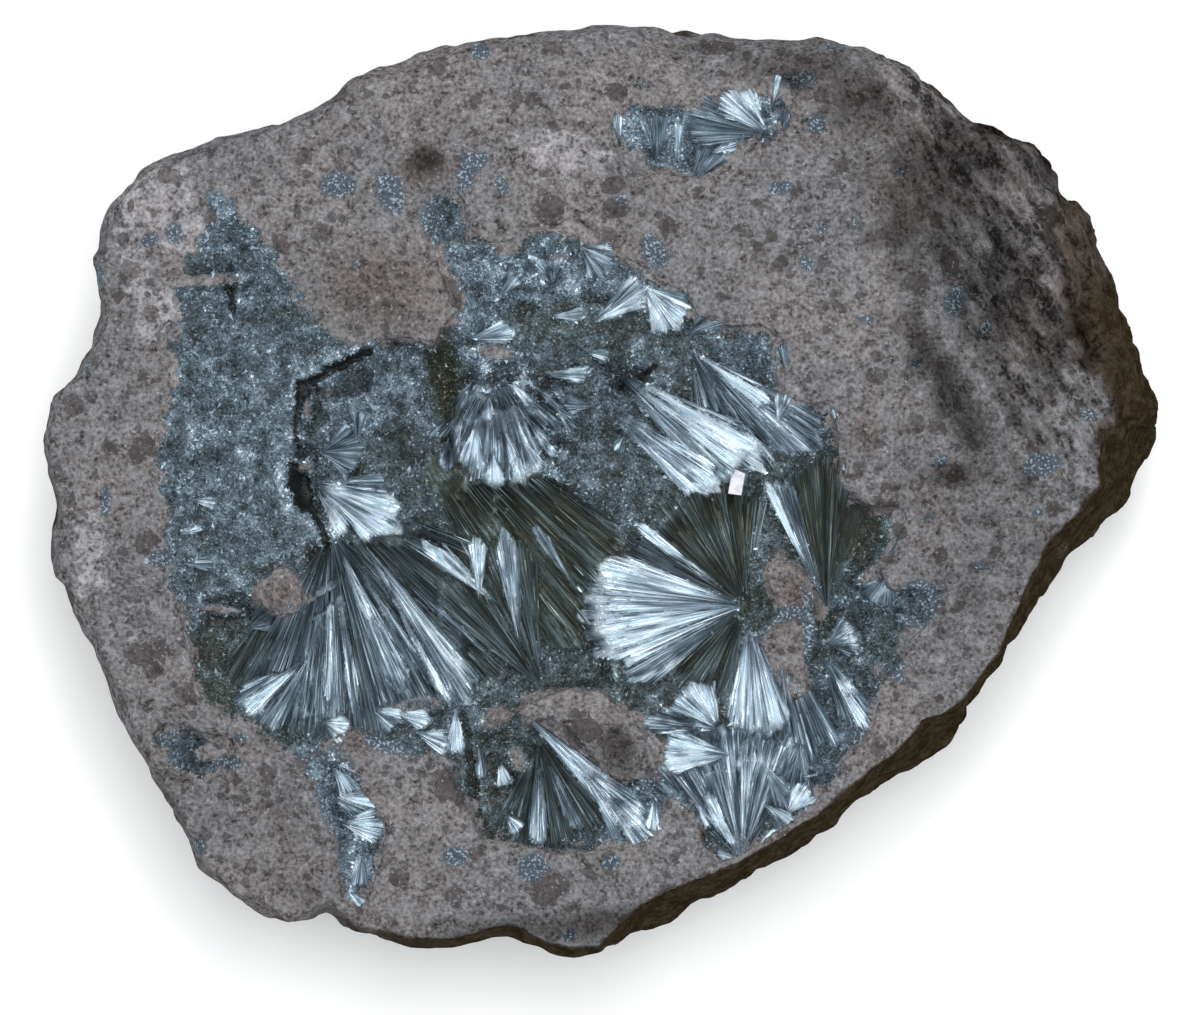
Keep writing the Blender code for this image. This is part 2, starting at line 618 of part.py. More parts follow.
def make_crust(name, pocket, rng):
    loops = pocket.loops(2 * GAP)
    places, faces, _ = crust_sheet(pocket, loops, rng).triangles(lambda x, y: pocket.holds(x, y, loops))
    points = [(x, y, face(x, y) + crust_level(x, y, pocket.sprays)) for x, y in places]
    rim = open_edges(faces)
    rim_places = sorted({end for side in rim for end in side})
    number = {place: index for index, place in enumerate(rim_places)}
    bottom = Sheet()
    bottom.points = [places[place] for place in rim_places]
    bottom.edges = [(number[a], number[b]) for a, b in rim]
    low_places, low_faces, went = bottom.triangles(lambda x, y: pocket.holds(x, y, loops))
    below = len(points)
    points += [(x, y, POCKET_FLOOR + GAP) for x, y in low_places]
    faces += [tuple(below + i for i in reversed(corner)) for corner in low_faces]
    for a, b in rim:
        low_a = below + went[number[a]]
        low_b = below + went[number[b]]
        faces += [(a, low_a, low_b), (a, low_b, b)]
    return make_object(name, points, faces)


def main():
    clear_scene()
    rng = random.Random(SEED)
    vein = Pocket(MAIN_VEIN, [LEFT_ISLAND, LOWER_ISLAND, RIGHT_ISLAND], SPRAYS)
    upper = Pocket(UPPER_SPRAY, [], UPPER_SPRAYS)
    patch = Pocket(LEFT_PATCH, [], [])
    make_matrix([vein, upper, patch], rng)
    make_crust("main_vein", vein, rng)
    make_crust("upper_spray", upper, rng)
    make_crust("left_patch", patch, rng)


main()
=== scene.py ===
"""Pyrolusite in matrix rock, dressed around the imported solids: rock, vein, sprays and stage.

Places in the tables are in millimetres on the frame's x and y, seen from above. The crystals lie on
fine sheets that follow the CAD's rock and crusts; each spray of blades is laid on its sheet.
"""

import math
from collections import namedtuple

import bmesh
import bpy
import numpy as np
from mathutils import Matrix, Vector, noise
from mathutils.bvhtree import BVHTree


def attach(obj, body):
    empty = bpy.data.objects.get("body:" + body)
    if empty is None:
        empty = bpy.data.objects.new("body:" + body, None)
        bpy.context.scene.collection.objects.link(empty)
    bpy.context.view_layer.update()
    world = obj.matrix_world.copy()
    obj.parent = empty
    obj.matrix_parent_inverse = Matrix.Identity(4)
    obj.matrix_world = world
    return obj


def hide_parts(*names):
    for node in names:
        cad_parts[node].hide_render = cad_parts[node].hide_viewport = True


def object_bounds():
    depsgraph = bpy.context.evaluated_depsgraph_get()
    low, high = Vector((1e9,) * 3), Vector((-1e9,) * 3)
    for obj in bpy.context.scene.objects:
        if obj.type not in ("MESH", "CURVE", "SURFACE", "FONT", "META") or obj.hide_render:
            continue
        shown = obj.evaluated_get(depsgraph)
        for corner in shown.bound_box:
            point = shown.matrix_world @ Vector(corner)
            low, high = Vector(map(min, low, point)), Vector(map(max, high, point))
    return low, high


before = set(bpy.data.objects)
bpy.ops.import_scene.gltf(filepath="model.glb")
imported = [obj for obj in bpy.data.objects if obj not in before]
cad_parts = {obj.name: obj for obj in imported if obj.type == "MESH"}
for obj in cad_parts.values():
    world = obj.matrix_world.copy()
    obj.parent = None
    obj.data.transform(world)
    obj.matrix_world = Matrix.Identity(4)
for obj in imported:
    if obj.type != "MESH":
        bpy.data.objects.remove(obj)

bl_info = {
    "name": "Pyrolusite Specimen",
    "version": (1, 0, 0),
    "blender": (4, 5, 0),
    "location": "3D View > Sidebar > Pyrolusite",
    "description": "Dresses a block of rock with a vein of radiating pyrolusite",
    "category": "Add Mesh",
}

MM = 0.001
CAD_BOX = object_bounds()
BODY = "root"
IMAGE_SIZE = (1200, 1015)
MIDDLE_PIXEL = (601.5, 491.5)  # where the camera sees the block's middle, from the upper left
SENSOR = 36.0  # mm
ABOVE = 100.0  # mm, higher than anything on the block
METAL_SHARE = 0.55  # of every pyrolusite finish
FEWEST_BLADES = 6  # in a spray
SHORTEST_BLADE = 0.6 * MM
HIGHEST_LIFT = 0.2 * MM  # of a blade above its sheet
ASTRAY_SINK = 1.2 * MM  # where a blade runs over another spray's part of the sheet
STREAKS = (46.0, 130.0)  # in each radian of a spray, near its apex and far from it
STREAKS_CHANGE = (18.0, 30.0)  # mm from the apex, between which the one becomes the other

Spray = namedtuple("Spray", "x y start end inner reach tone tint")


def spray_table(*rows):
    return [Spray(*row) for row in rows]


# Sprays of blades: apex x and y, the angles between which they open (degrees), where their blades start
# and end (from the apex), tone from dark 0 to silver 1, and tint from blue-grey 0 to olive 1. The tone
# is
# partly painted reflection: how brightly the blades catch the light. A later spray lies over an earlier
# one.
FLOOR_FIBRES = spray_table(
    (-34.1, 22.1, -61, -36, 27.0, 54.0, 0.37, 0.75),
    (-40.5, -13.0, -130, -62, 1.0, 13.0, 0.28, 0.40),
    (-36.0, 1.0, -62, -20, 5.0, 34.0, 0.38, 0.25),
    (28.2, -15.1, 64, 112, 0.8, 19.6, 0.28, 0.55),
    (18.0, -14.2, 78, 160, 1.0, 16.4, 0.30, 0.60),
    (18.0, -14.2, 210, 264, 1.0, 14.0, 0.36, 0.45),
    (22.0, -18.0, -116, -58, 2.0, 17.0, 0.58, 0.02),
    (17.6, -46.1, 56, 140, 0.6, 17.0, 0.60, 0.02),
    (-7.3, -24.8, 92, 145, 1.0, 20.0, 0.36, 0.40),
    (-33.9, -4.8, -122, -38, 1.5, 26.5, 0.46, 0.15),
    (-7.9, -31.0, -118, -32, 0.8, 14.0, 0.34, 0.30),
)
LEFT_SPRAYS = spray_table(
    (-33.9, -4.8, -102, -80, 9.0, 24.4, 0.58, 0.10),
    (-33.9, -4.8, -93, -89, 8.0, 22.0, 0.72, 0.05),
    (-33.9, -4.8, -84, -80, 12.0, 24.0, 0.70, 0.05),
    (-33.9, -4.8, -71, -60, 2.5, 22.8, 0.72, 0.00),
    (-33.9, -4.8, -69, -63, 2.5, 12.5, 0.84, 0.00),
    (-33.9, -4.8, -58, -53, 10.0, 25.5, 0.66, 0.00),
    (-29.9, -6.4, -64, -48, 0.6, 24.4, 0.62, 0.05),
    (-29.9, -6.4, -61, -56, 0.6, 8.0, 0.88, 0.00),
    (-29.9, -6.4, -63, -60, 13.0, 23.5, 0.88, 0.00),
    (-29.9, -6.4, -44, -40, 6.0, 21.0, 0.62, 0.00),
    (-36.4, -20.4, 203, 250, 0.5, 11.5, 0.62, 0.00),
    (-36.4, -20.4, 214, 229, 0.5, 11.4, 0.93, 0.00),
    (-36.3, 1.2, -66, -44, 0.6, 7.6, 0.84, 0.00),
    (-36.3, 1.2, -48, -4, 0.6, 12.0, 0.90, 0.00),
    (-36.3, 1.2, -8, 8, 0.8, 9.4, 0.56, 0.00),
    (-35.2, 4.9, -48, 52, 0.4, 5.4, 0.62, 0.00),
    (-30.6, 6.2, 58, 104, 0.3, 4.0, 0.66, 0.00),
    (-53.0, -5.5, 6, 26, 0.2, 3.4, 0.90, 0.00),
    (-52.5, -9.0, -20, 25, 0.2, 4.0, 0.62, 0.00),
    (-51.5, -1.0, -30, 10, 0.2, 3.4, 0.62, 0.00),
    (-44.6, -17.2, -10, 60, 0.2, 4.2, 0.52, 0.05),
)
MOUND_SPRAYS = spray_table(
    (-13.7, 15.4, -136, -34, 2.4, 12.8, 0.47, 0.05),
    (-13.7, 17.4, -104, -64, 9.0, 17.2, 0.72, 0.00),
    (-17.2, 10.8, -118, -94, 1.0, 8.2, 0.64, 0.00),
    (-15.8, 14.2, -140, -108, 0.3, 4.6, 0.66, 0.05),
    (-19.0, 7.6, -112, -80, 0.3, 5.0, 0.62, 0.00),
    (-15.6, 9.0, -116, -78, 0.3, 6.6, 0.72, 0.00),
    (-14.2, 12.4, -100, -72, 0.3, 3.6, 0.60, 0.00),
    (-12.6, 8.6, -96, -58, 0.3, 5.4, 0.76, 0.00),
    (-13.6, 5.2, -106, -66, 0.3, 4.6, 0.80, 0.00),
    (-10.2, 7.0, -84, -46, 0.3, 5.2, 0.66, 0.00),
    (-11.6, 13.8, -64, -36, 0.3, 4.0, 0.78, 0.00),
    (-10.6, 11.0, -62, -48, 0.5, 8.4, 0.70, 0.00),
    (-9.0, 13.5, -50, -30, 0.5, 7.6, 0.60, 0.00),
    (-12.1, -14.8, 132, 147, 1.0, 13.6, 0.88, 0.00),
    (-15.2, -14.2, 82, 103, 0.8, 8.8, 0.84, 0.00),
    (-9.9, -21.1, 91, 105, 3.0, 16.0, 0.70, 0.05),
    (-2.0, -14.0, 118, 128, 2.0, 12.0, 0.66, 0.10),
    (-7.4, 14.6, -16, 14, 0.3, 5.8, 0.76, 0.00),
    (-16.8, 18.9, -8, 34, 0.3, 6.0, 0.84, 0.00),
    (-5.6, 10.2, -70, -30, 0.3, 3.6, 0.60, 0.05),
    (-3.0, 17.6, -30, 4, 0.3, 4.4, 0.66, 0.00),
    (-1.0, 10.6, 150, 200, 0.3, 3.8, 0.56, 0.00),
    (-6.4, 21.8, -20, 24, 0.3, 4.2, 0.70, 0.00),
    (3.4, 8.4, -130, -96, 0.3, 4.2, 0.52, 0.05),
    (-13.0, 24.0, 30, 76, 0.3, 4.0, 0.66, 0.00),
    (-17.4, 25.8, -80, -40, 0.3, 3.6, 0.60, 0.00),
    (-9.6, 30.0, -60, -10, 0.3, 3.8, 0.68, 0.00),
)
RIGHT_SPRAYS = spray_table(
    (11.1, 17.8, -92, -26, 0.8, 16.0, 0.46, 0.05),
    (11.1, 17.8, -50, -25, 0.8, 20.0, 0.66, 0.00),
    (11.1, 17.8, -42, -30, 1.0, 12.5, 0.88, 0.00),
    (11.1, 17.8, -58, -54, 6.0, 19.0, 0.80, 0.00),
    (1.2, 15.4, -52, -22, 2.0, 22.0, 0.66, 0.05),
    (1.2, 15.4, -40, -25, 3.4, 22.6, 0.92, 0.00),
    (-2.0, 12.6, -47, -29, 7.2, 20.8, 0.90, 0.00),
    (28.2, -14.8, 104, 118, 0.8, 18.0, 0.64, 0.05),
    (28.2, -14.8, 113, 118, 6.0, 18.0, 0.88, 0.00),
    (17.4, 9.0, -56, -47, 0.5, 7.6, 0.88, 0.00),
    (18.0, -14.2, 141, 166, 1.0, 16.8, 0.44, 0.15),
    (18.0, -14.2, 140, 147, 4.6, 16.8, 0.90, 0.00),
    (18.0, -14.2, 200, 222, 0.8, 17.6, 0.66, 0.05),
    (18.0, -14.2, 157, 208, 0.8, 20.6, 0.84, 0.00),
    (18.0, -14.2, 185, 199, 2.0, 20.0, 0.88, 0.00),
    (18.4, -16.1, 256, 295, 0.6, 14.8, 0.80, 0.00),
    (27.6, -20.4, -78, -42, 0.5, 10.0, 0.60, 0.00),
    (27.6, -20.4, -64, -53, 1.5, 10.8, 0.90, 0.00),
    (28.2, -19.2, -30, 70, 0.3, 4.2, 0.60, 0.00),
    (27.6, -19.2, 120, 200, 0.3, 3.0, 0.55, 0.00),
    (35.6, -8.4, -20, 60, 0.2, 4.6, 0.56, 0.00),
    (35.8, -10.5, 200, 290, 0.2, 4.0, 0.66, 0.00),
    (23.4, 13.2, 50, 112, 0.3, 5.6, 0.70, 0.00),
    (22.0, 8.4, 60, 96, 0.3, 4.2, 0.70, 0.00),
    (-1.4, 20.8, 16, 54, 0.5, 8.8, 0.84, 0.00),
    (5.4, 25.6, -84, -8, 0.5, 6.6, 0.80, 0.00),
    (-2.6, 30.6, -80, 10, 0.3, 4.6, 0.66, 0.00),
    (-6.0, 26.0, 60, 140, 0.3, 3.6, 0.58, 0.00),
    (10.4, 19.4, 10, 60, 0.3, 5.4, 0.62, 0.00),
    (29.4, 8.6, 0, 120, 0.2, 2.2, 0.90, 0.00),
)
LOWER_SPRAYS = spray_table(
    (16.7, -34.2, 196, 266, 0.6, 9.0, 0.60, 0.05),
    (17.6, -46.1, 66, 130, 0.6, 16.8, 0.64, 0.02),
    (17.6, -46.1, 82, 93, 2.0, 15.0, 0.76, 0.00),
    (17.6, -46.1, 112, 126, 1.0, 9.0, 0.84, 0.00),
    (17.6, -46.1, 30, 48, 1.0, 6.4, 0.88, 0.00),
    (17.6, -46.1, 150, 180, 0.5, 3.6, 0.80, 0.00),
    (11.1, -37.6, -70, -54, 0.2, 5.0, 0.95, 0.00),
    (16.4, -32.9, 151, 199, 0.5, 8.8, 0.92, 0.00),
    (14.8, -29.8, 94, 184, 0.6, 7.0, 0.82, 0.00),
    (14.8, -29.8, 158, 184, 4.0, 9.6, 0.66, 0.05),
    (20.4, -34.0, -80, -40, 0.5, 7.4, 0.68, 0.00),
    (24.8, -31.0, -104, -74, 0.5, 9.4, 0.64, 0.00),
    (23.0, -40.6, 20, 76, 0.2, 4.8, 0.88, 0.00),
    (23.6, -36.0, 0, 18, 0.2, 3.8, 0.95, 0.00),
    (20.0, -38.8, -60, -20, 0.3, 5.0, 0.78, 0.00),
    (-7.9, -31.4, -98, -82, 4.0, 13.4, 0.72, 0.00),
    (-7.9, -31.4, -72, -60, 4.0, 12.4, 0.56, 0.10),
    (-10.0, -27.4, -52, -36, 1.0, 20.4, 0.92, 0.00),
    (-3.0, -34.0, -66, -28, 2.6, 11.4, 0.74, 0.00),
    (-1.6, -35.4, -60, -40, 5.0, 12.6, 0.88, 0.00),
    (6.6, -38.2, -112, -70, 0.3, 4.4, 0.95, 0.00),
    (-12.8, -33.6, -100, -50, 0.2, 3.6, 0.84, 0.00),
    (-12.2, -40.0, -80, -30, 0.2, 3.4, 0.80, 0.00),
    (-15.4, -31.0, -100, -70, 0.2, 5.0, 0.56, 0.00),
    (-18.2, -26.4, -106, -76, 0.4, 6.8, 0.84, 0.00),
    (-26.4, -27.6, -34, 8, 0.4, 5.0, 0.93, 0.00),
    (-23.6, -30.0, -46, 4, 0.3, 5.0, 0.88, 0.00),
    (-29.0, -27.0, -60, 0, 0.3, 4.2, 0.70, 0.00),
    (-34.8, -28.8, -60, 20, 0.2, 3.6, 0.84, 0.00),
    (-33.8, -33.6, -80, -20, 0.3, 5.2, 0.80, 0.00),
    (-34.0, -38.0, -52, 4, 0.4, 6.6, 0.80, 0.00),
    (-32.8, -41.4, -34, 26, 0.4, 5.8, 0.88, 0.00),
    (-30.0, -45.0, -120, -70, 0.3, 4.6, 0.66, 0.00),
    (-32.0, -49.6, -78, -30, 0.2, 3.2, 0.92, 0.00),
)
VEIN_PIECES = {
    "floor_fibres": FLOOR_FIBRES, "left_sprays": LEFT_SPRAYS, "mound_sprays": MOUND_SPRAYS,
    "right_sprays": RIGHT_SPRAYS, "lower_sprays": LOWER_SPRAYS,
}
VEIN_SPRAYS = sum(VEIN_PIECES.values(), [])
UPPER_SPRAYS = spray_table(
    (7.0, 40.6, 74, 112, 0.4, 7.0, 0.40, 0.15),
    (9.4, 40.4, 74, 96, 0.3, 5.8, 0.74, 0.00),
    (2.4, 42.6, 82, 108, 0.3, 4.8, 0.90, 0.00),
    (11.4, 38.8, 28, 84, 0.3, 6.0, 0.56, 0.00),
    (13.0, 42.2, 2, 30, 0.3, 4.2, 0.80, 0.00),
    (21.1, 44.6, 146, 190, 0.4, 10.8, 0.58, 0.05),
    (21.1, 44.6, 114, 160, 0.3, 8.4, 0.74, 0.00),
    (21.1, 44.6, 106, 128, 0.3, 7.0, 0.97, 0.00),
    (21.2, 47.8, 66, 84, 0.2, 4.6, 0.90, 0.00),
    (22.2, 44.4, 40, 92, 0.3, 3.6, 0.56, 0.00),
)

# The places below are ovals: x, y, half length, half width, turn (degrees), then what the table adds.

# Granular places of the vein, with tone and tint.
GRANULAR = [
    (-47, 5, 11, 20, 0, 0.40, 0.05), (-44, 26, 8, 12, 15, 0.36, 0.05),
    (-47, 38, 5, 6, 0, 0.50, 0.0), (-50, -9, 6, 9, 0, 0.36, 0.10), (-28, 13, 9, 7, 0, 0.40, 0.05),
    (-12, 26, 11, 6, 0, 0.47, 0.0), (-20, 34, 4, 7, 0, 0.42, 0.0), (-2, 12, 8, 9, -20, 0.24, 0.05),
    (-12, 8, 8, 8, 0, 0.36, 0.1), (2, 27, 7, 5, -30, 0.50, 0.0), (20, 17, 6, 4, 0, 0.42, 0.0),
    (28, -32, 8, 9, 0, 0.40, 0.0), (37, -12, 7, 6, 30, 0.32, 0.0),
    (-49, -24, 6, 7, -20, 0.22, 0.45), (-32, -41, 5, 12, 8, 0.52, 0.0),
    (-28, -29, 10, 4, 0, 0.40, 0.1), (-13, -38, 5, 8, 0, 0.26, 0.3), (4, -41, 6, 5, 0, 0.50, 0.0),
    (-51, -32.5, 6, 4, 0, 0.28, 0.0), (12, 45, 12, 6, 0, 0.52, 0.0), (28, 9, 5, 4, 0, 0.34, 0.0),
    (31, -5, 4, 4, 0, 0.16, 0.6), (-33, -12, 5, 5, 0, 0.24, 0.2), (-24, 3, 8, 6, 0, 0.24, 0.15),
    (-16, 18.5, 6, 3, 0, 0.50, 0.0), (-19.5, 14, 2.2, 6, 5, 0.22, 0.6),
    (-3, 21, 8, 3, 0, 0.28, 0.3), (10, -14, 3, 3, 0, 0.3, 0.1), (19, -15, 2.5, 2.5, 0, 0.16, 0.3),
    (17, -31, 2, 4, 0, 0.26, 0.2),
]
# Deep places of the vein, darkened with painted shade, with depth.
HOLLOWS = [
    (-36.6, 8.4, 2.0, 4.4, 0, 0.8), (-19.6, 14, 5.2, 1.4, 100, 1.1), (3.0, 13.4, 3.6, 1.6, 35, 0.7),
    (-34.4, -13.6, 2.6, 0.8, 38, 2.0), (-32.0, 13.0, 5.0, 1.6, 26, 0.6),
    (4.2, -33.2, 2.9, 1.4, 82, 2.0), (-16.2, -35.5, 7.0, 0.7, 97, 1.0),
    (-19.2, 6.0, 3.6, 1.0, 100, 1.2), (-12.0, 4.0, 0.5, 3.5, 8, 0.8),
    (-46.4, 24.8, 3.2, 0.8, 95, 0.9), (-6.0, 13.6, 2.2, 1.2, 30, 0.7),
    (-4.6, 6.0, 2.4, 1.0, -30, 0.7), (-1.0, 24.2, 2.6, 0.8, -20, 0.6),
    (-9.4, 23.0, 2.2, 0.8, 10, 0.6), (-40.4, -22.0, 3.5, 1.2, 10, 0.8),
    (-24.5, 19.2, 0.8, 0.6, 0, 0.6), (30.4, 6.6, 2.2, 0.9, 20, 1.0),
]
# Sharp clefts of the vein, darkened with painted shade: half width, depth, then the points that they
# run through.
CLEFTS = [
    (0.55, 2.4, (-36.4, 13.8), (-33.0, 15.7), (-29.2, 17.5)),
    (0.85, 2.0, (-37.3, 13.1), (-37.4, 11.6)),
    (0.26, 1.0, (-37.8, 12.0), (-38.3, 8.4), (-37.9, 4.4)),
    (1.15, 2.2, (-38.1, 2.4), (-37.4, -1.4)), (0.35, 1.4, (2.6, 13.0), (4.4, 13.8), (6.6, 15.6)),
    (0.25, 0.9, (-46.8, 27.0), (-46.2, 22.4)),
    (0.45, 1.5, (-36.9, -1.6), (-34.9, -4.6), (-34.2, -7.2)),
    (0.4, 1.4, (-36.6, -14.6), (-32.8, -12.2)),
]
# Swellings of the vein, with height.
MOUNDS = [
    (-12.6, 7.0, 7.4, 8.6, 0, 1.7), (12.0, 5.8, 10.5, 4.2, -35, 0.7),
    (19.0, 11.0, 9.5, 4.0, -40, 0.5), (-28.0, 12.0, 5.0, 4.0, 20, 0.7), (-11, 27, 5, 3, 20, 0.7),
    (-4, 27, 3, 2.4, 0, 0.6), (8, 22.5, 4, 2.5, -30, 0.6), (8.5, -14.5, 9.5, 9.0, 0, 0.5),
    (-30, -2.6, 6, 4, -20, 0.6), (12, -33, 5, 3.5, 0, 0.6), (-44, 12, 4, 6, 0, 0.4),
    (-43, 27, 4, 4, 0, 0.5), (-47, 37, 2, 3, 0, 0.5), (-45, -2, 4, 5, 20, 0.4),
    (-24, -16, 4, 10, 28, 0.4),
]
# Rock that shows inside the vein, and vein that shows inside the rock.
ROCK_IN_VEIN = [
    (-13.3, 17.4, 3.0, 1.1, -6), (-47.5, -14.8, 2.8, 0.7, -6), (22.4, -10.8, 2.0, 2.0, 0),
    (27.2, -14.2, 1.6, 1.6, 30), (-41.0, -13.2, 2.6, 2.4, 0), (23.6, -20.5, 2.8, 4.0, 10),
    (-23.0, -26.8, 3.8, 1.4, 12), (-13.5, -28.5, 2.4, 1.6, 30), (-10.5, -33.5, 1.2, 2.0, 20),
    (-36.8, 10.2, 0.6, 1.6, 0), (-37, 3.0, 1.2, 0.7, 20), (-48.6, 26.5, 4.5, 0.9, 4),
    (-5.2, 29.2, 1.4, 0.9, 40), (5.6, 23.6, 1.0, 1.3, -30), (33.4, -10.6, 1.6, 1.0, 30),
    (31.6, -18.6, 0.9, 1.6, 20), (38.4, -16.2, 1.5, 0.8, -20), (30.6, -24.6, 1.0, 1.4, 0),
    (6.0, 49.2, 3.2, 1.3, -10), (12.2, 48.4, 1.6, 1.2, 0), (4.6, 41.0, 1.0, 1.6, 0),
    (-49.6, -32.8, 1.5, 1.1, 0), (16.8, 41.4, 2.4, 0.9, 20),
]
METAL_IN_ROCK = [
    (20.0, -15.4, 1.3, 3.2, 0), (26.0, -18.0, 0.9, 6.0, 4), (23.0, -15.4, 2.4, 1.0, 20),
    (19.6, -23.6, 1.2, 2.0, 30), (-32.6, -37.6, 2.8, 5.6, 10), (-31.0, -46.0, 1.8, 4.6, 0),
    (-26, -31.5, 4.0, 1.2, -10), (35, -16, 3.0, 1.6, 40), (-53.5, 32.5, 1.0, 1.4, 0),
    (-16.8, 40.2, 1.2, 2.4, -10), (-25.5, -29.0, 3.0, 1.4, 0),
]

# Pale, reddish-brown, metallic and brown places on the rock.
PALE_PLACES = [
    (-57, 36.5, 6.0, 4.0, 40), (-53, 34, 3.5, 4.0, 0), (-55, 23, 4.0, 2.4, 0),
    (-58.5, 28, 2.0, 4.0, 10), (-57, 20.5, 1.5, 3.0, 0), (-5, 42.5, 6, 3, 0), (-64, -8, 2, 6, 0),
]
RED_PLACES = [
    (-28, 25, 8.5, 6.0, -10), (-22.5, 40.2, 3.6, 2.8, 0), (-18, 19, 3.5, 2.0, 10),
    (-40, -13, 2.6, 2.2, 0), (-30, -29.5, 5, 3, 0), (-14, -27.5, 5, 2.4, 10), (25, -13, 4, 4, 0),
    (33, 7, 2, 3, 0),
]
BLUE_PLACES = [
    (-33, 38.4, 2.2, 1.7, 0), (-26.5, 37.5, 1.6, 2.8, 20), (-20.5, 34.0, 2.0, 3.2, 0),
    (-15.2, 41.5, 1.2, 1.0, 0), (-15.2, 55, 1.4, 0.9, 0), (22.3, 38, 1.4, 0.9, 0),
    (24.8, 51.4, 2.2, 1.2, 0), (27, 46, 1.2, 1.3, 0), (44.3, 24, 1.3, 2.2, -20),
    (55, 3.2, 2.2, 1.5, 0), (42.3, 3.6, 0.9, 1.0, 0), (38.8, -14.2, 4.2, 2.6, 30),
    (-18.3, -45.7, 1.6, 1.2, 0), (-8.6, -47, 1.8, 1.8, 0), (1.0, -46.3, 1.4, 0.8, 0),
    (-4, -55.4, 0.8, 0.8, 0), (-50.5, -44.5, 1.2, 0.9, 0), (-62, -1.2, 0.7, 2.2, 0),
    (-55.2, -8.4, 1.8, 1.0, 0), (29, 56, 1.0, 0.8, 0), (-30.6, 28.5, 0.7, 0.6, 0),
    (31.5, -30.5, 2.6, 1.2, 40), (61, 9.5, 1.2, 0.8, 0), (36.5, -22, 1.6, 2.0, 20),
    (58, -7.5, 0.9, 1.4, 0), (-56.5, 31.5, 1.2, 0.9, 30), (11.3, -51.5, 1.1, 0.7, 0),
    (-63, 27, 0.8, 1.4, 0), (25.6, 28.6, 1.1, 0.8, -40), (37.5, 40, 0.9, 0.6, 20),
    (33, 21.5, 1.2, 0.6, 0), (39.5, 16, 0.8, 0.6, 0), (-33, 50.5, 0.9, 0.5, 0),
    (-12.5, 38, 0.9, 1.4, 10), (48, 20.5, 1.0, 0.7, 50), (41, -3.2, 1.0, 0.5, 20),
    (6.5, 30, 1.6, 2.2, 30), (-46, 47.5, 0.9, 0.6, 0), (-64.5, 16, 0.6, 1.2, 0),
    (27.5, 33, 0.8, 0.8, 0), (31.5, 33.4, 0.5, 0.7, 0), (-54.5, -31, 1.6, 1.0, 0),
    (-46.4, -33.8, 1.6, 0.8, 0), (-45.2, -30.8, 1.0, 0.7, 0), (54.5, -2.5, 0.8, 0.5, 0),
    (47.5, -9.5, 1.2, 0.6, -20), (2.5, 36.5, 0.8, 0.6, 0),
]
BROWN_PLACES = [
    (1.7, 50, 1.5, 1.1, 0), (1.4, 38.3, 1.7, 1.1, 10), (1.8, 35.5, 1.8, 1.2, -10),
    (22.4, 28.6, 1.1, 0.8, 30), (21.2, 31.8, 0.9, 0.7, 0), (42.3, -8, 1.0, 1.0, 0),
    (49.4, -7.7, 0.9, 0.7, 0), (37.3, -5, 0.9, 1.2, 30), (14.5, 55.8, 2.4, 1.2, 10),
    (6.0, 47.0, 1.0, 0.8, 0), (19.5, 30.5, 0.8, 0.6, 0), (44.5, -14.5, 1.2, 0.7, 40),
    (36, 0.5, 1.6, 0.6, -10), (12, 37.4, 0.9, 0.6, 60), (-4.5, 50.5, 0.9, 0.6, 0),
    (24.5, 37.5, 1.0, 0.7, 30), (-25, 27, 0.6, 0.5, 0), (-29.8, 26.8, 0.5, 0.5, 0),
    (8.2, 33.2, 0.4, 1.8, -10), (-58.8, 35.6, 0.5, 0.9, 10), (33.6, 18.5, 1.1, 0.4, 0),
    (-60.5, 24.5, 0.9, 0.7, 0), (31.4, 2.0, 1.2, 0.5, -20), (36, -8.5, 1.4, 0.4, 0),
]
# The left edge of the facet at the right, darkened with brown weathering and painted shade: y, then x.
RIGHT_FACET = ((6, 20, 37), (64.6, 57.6, 54.6))
# Where the walls get no brown weathering or painted shade: round the vein, and in the groove at the
# right.
PLAIN_WALL_PLACES = [(0, -5, 40, 38, 0), (45, 11, 5, 11, 25)]
# Places on the rock with a little painted shade, with how much: mostly its right and lower left.
SOFT_SHADE_PLACES = [
    (50, -4, 20, 20, 0, 0.30), (50, 34, 17, 22, -30, 0.30), (-42, -42, 22, 12, -40, 0.22),
    (23.5, -20, 4, 5, 0, 0.22), (0, -52, 34, 5, 4, 0.08), (16, 38, 24, 9, 0, 0.08),
    (-22.5, 40, 4, 3, 0, 0.28),
]
# Places on the rock darkened with painted shade, mostly its hollows and crags, and its larger hollows
# with depth.
SHADE_PLACES = [
    (44, 40, 9, 10, -30), (52, 22, 6, 12, 25), (43.6, 12.4, 2.4, 8.4, 28), (26, 53, 8, 3, 0),
    (38, 33, 4, 2.5, 30), (-22, 42, 2, 2, 0), (44, 2, 3, 1.5, 0), (1.9, -32.4, 2.0, 4.0, 8),
    (32, 50, 6, 5, -20), (2, -54, 20, 2, 4),
]
ROCK_HOLLOWS = [
    (44.2, 12.4, 2.8, 8.6, 25, 0.5), (50.5, 27, 5, 9, 25, 0.9), (53.4, 25.2, 1.3, 1.6, 0, 1.2),
    (44, 40, 3, 2, 40, 0.7), (39, 34, 2.4, 1.6, -20, 0.6), (48, 33, 2.0, 1.4, 0, 0.8),
    (1.9, -32.4, 1.8, 3.8, 8, 1.8), (35, 49, 3.0, 1.4, -30, 0.6), (-63, 4, 2.0, 1.4, 0, 0.6),
    (44.5, 1.5, 3.4, 1.2, 10, 0.6), (-50, -37, 4, 1.2, 8, 0.8), (20, 40, 3, 1.6, 30, 0.4),
]
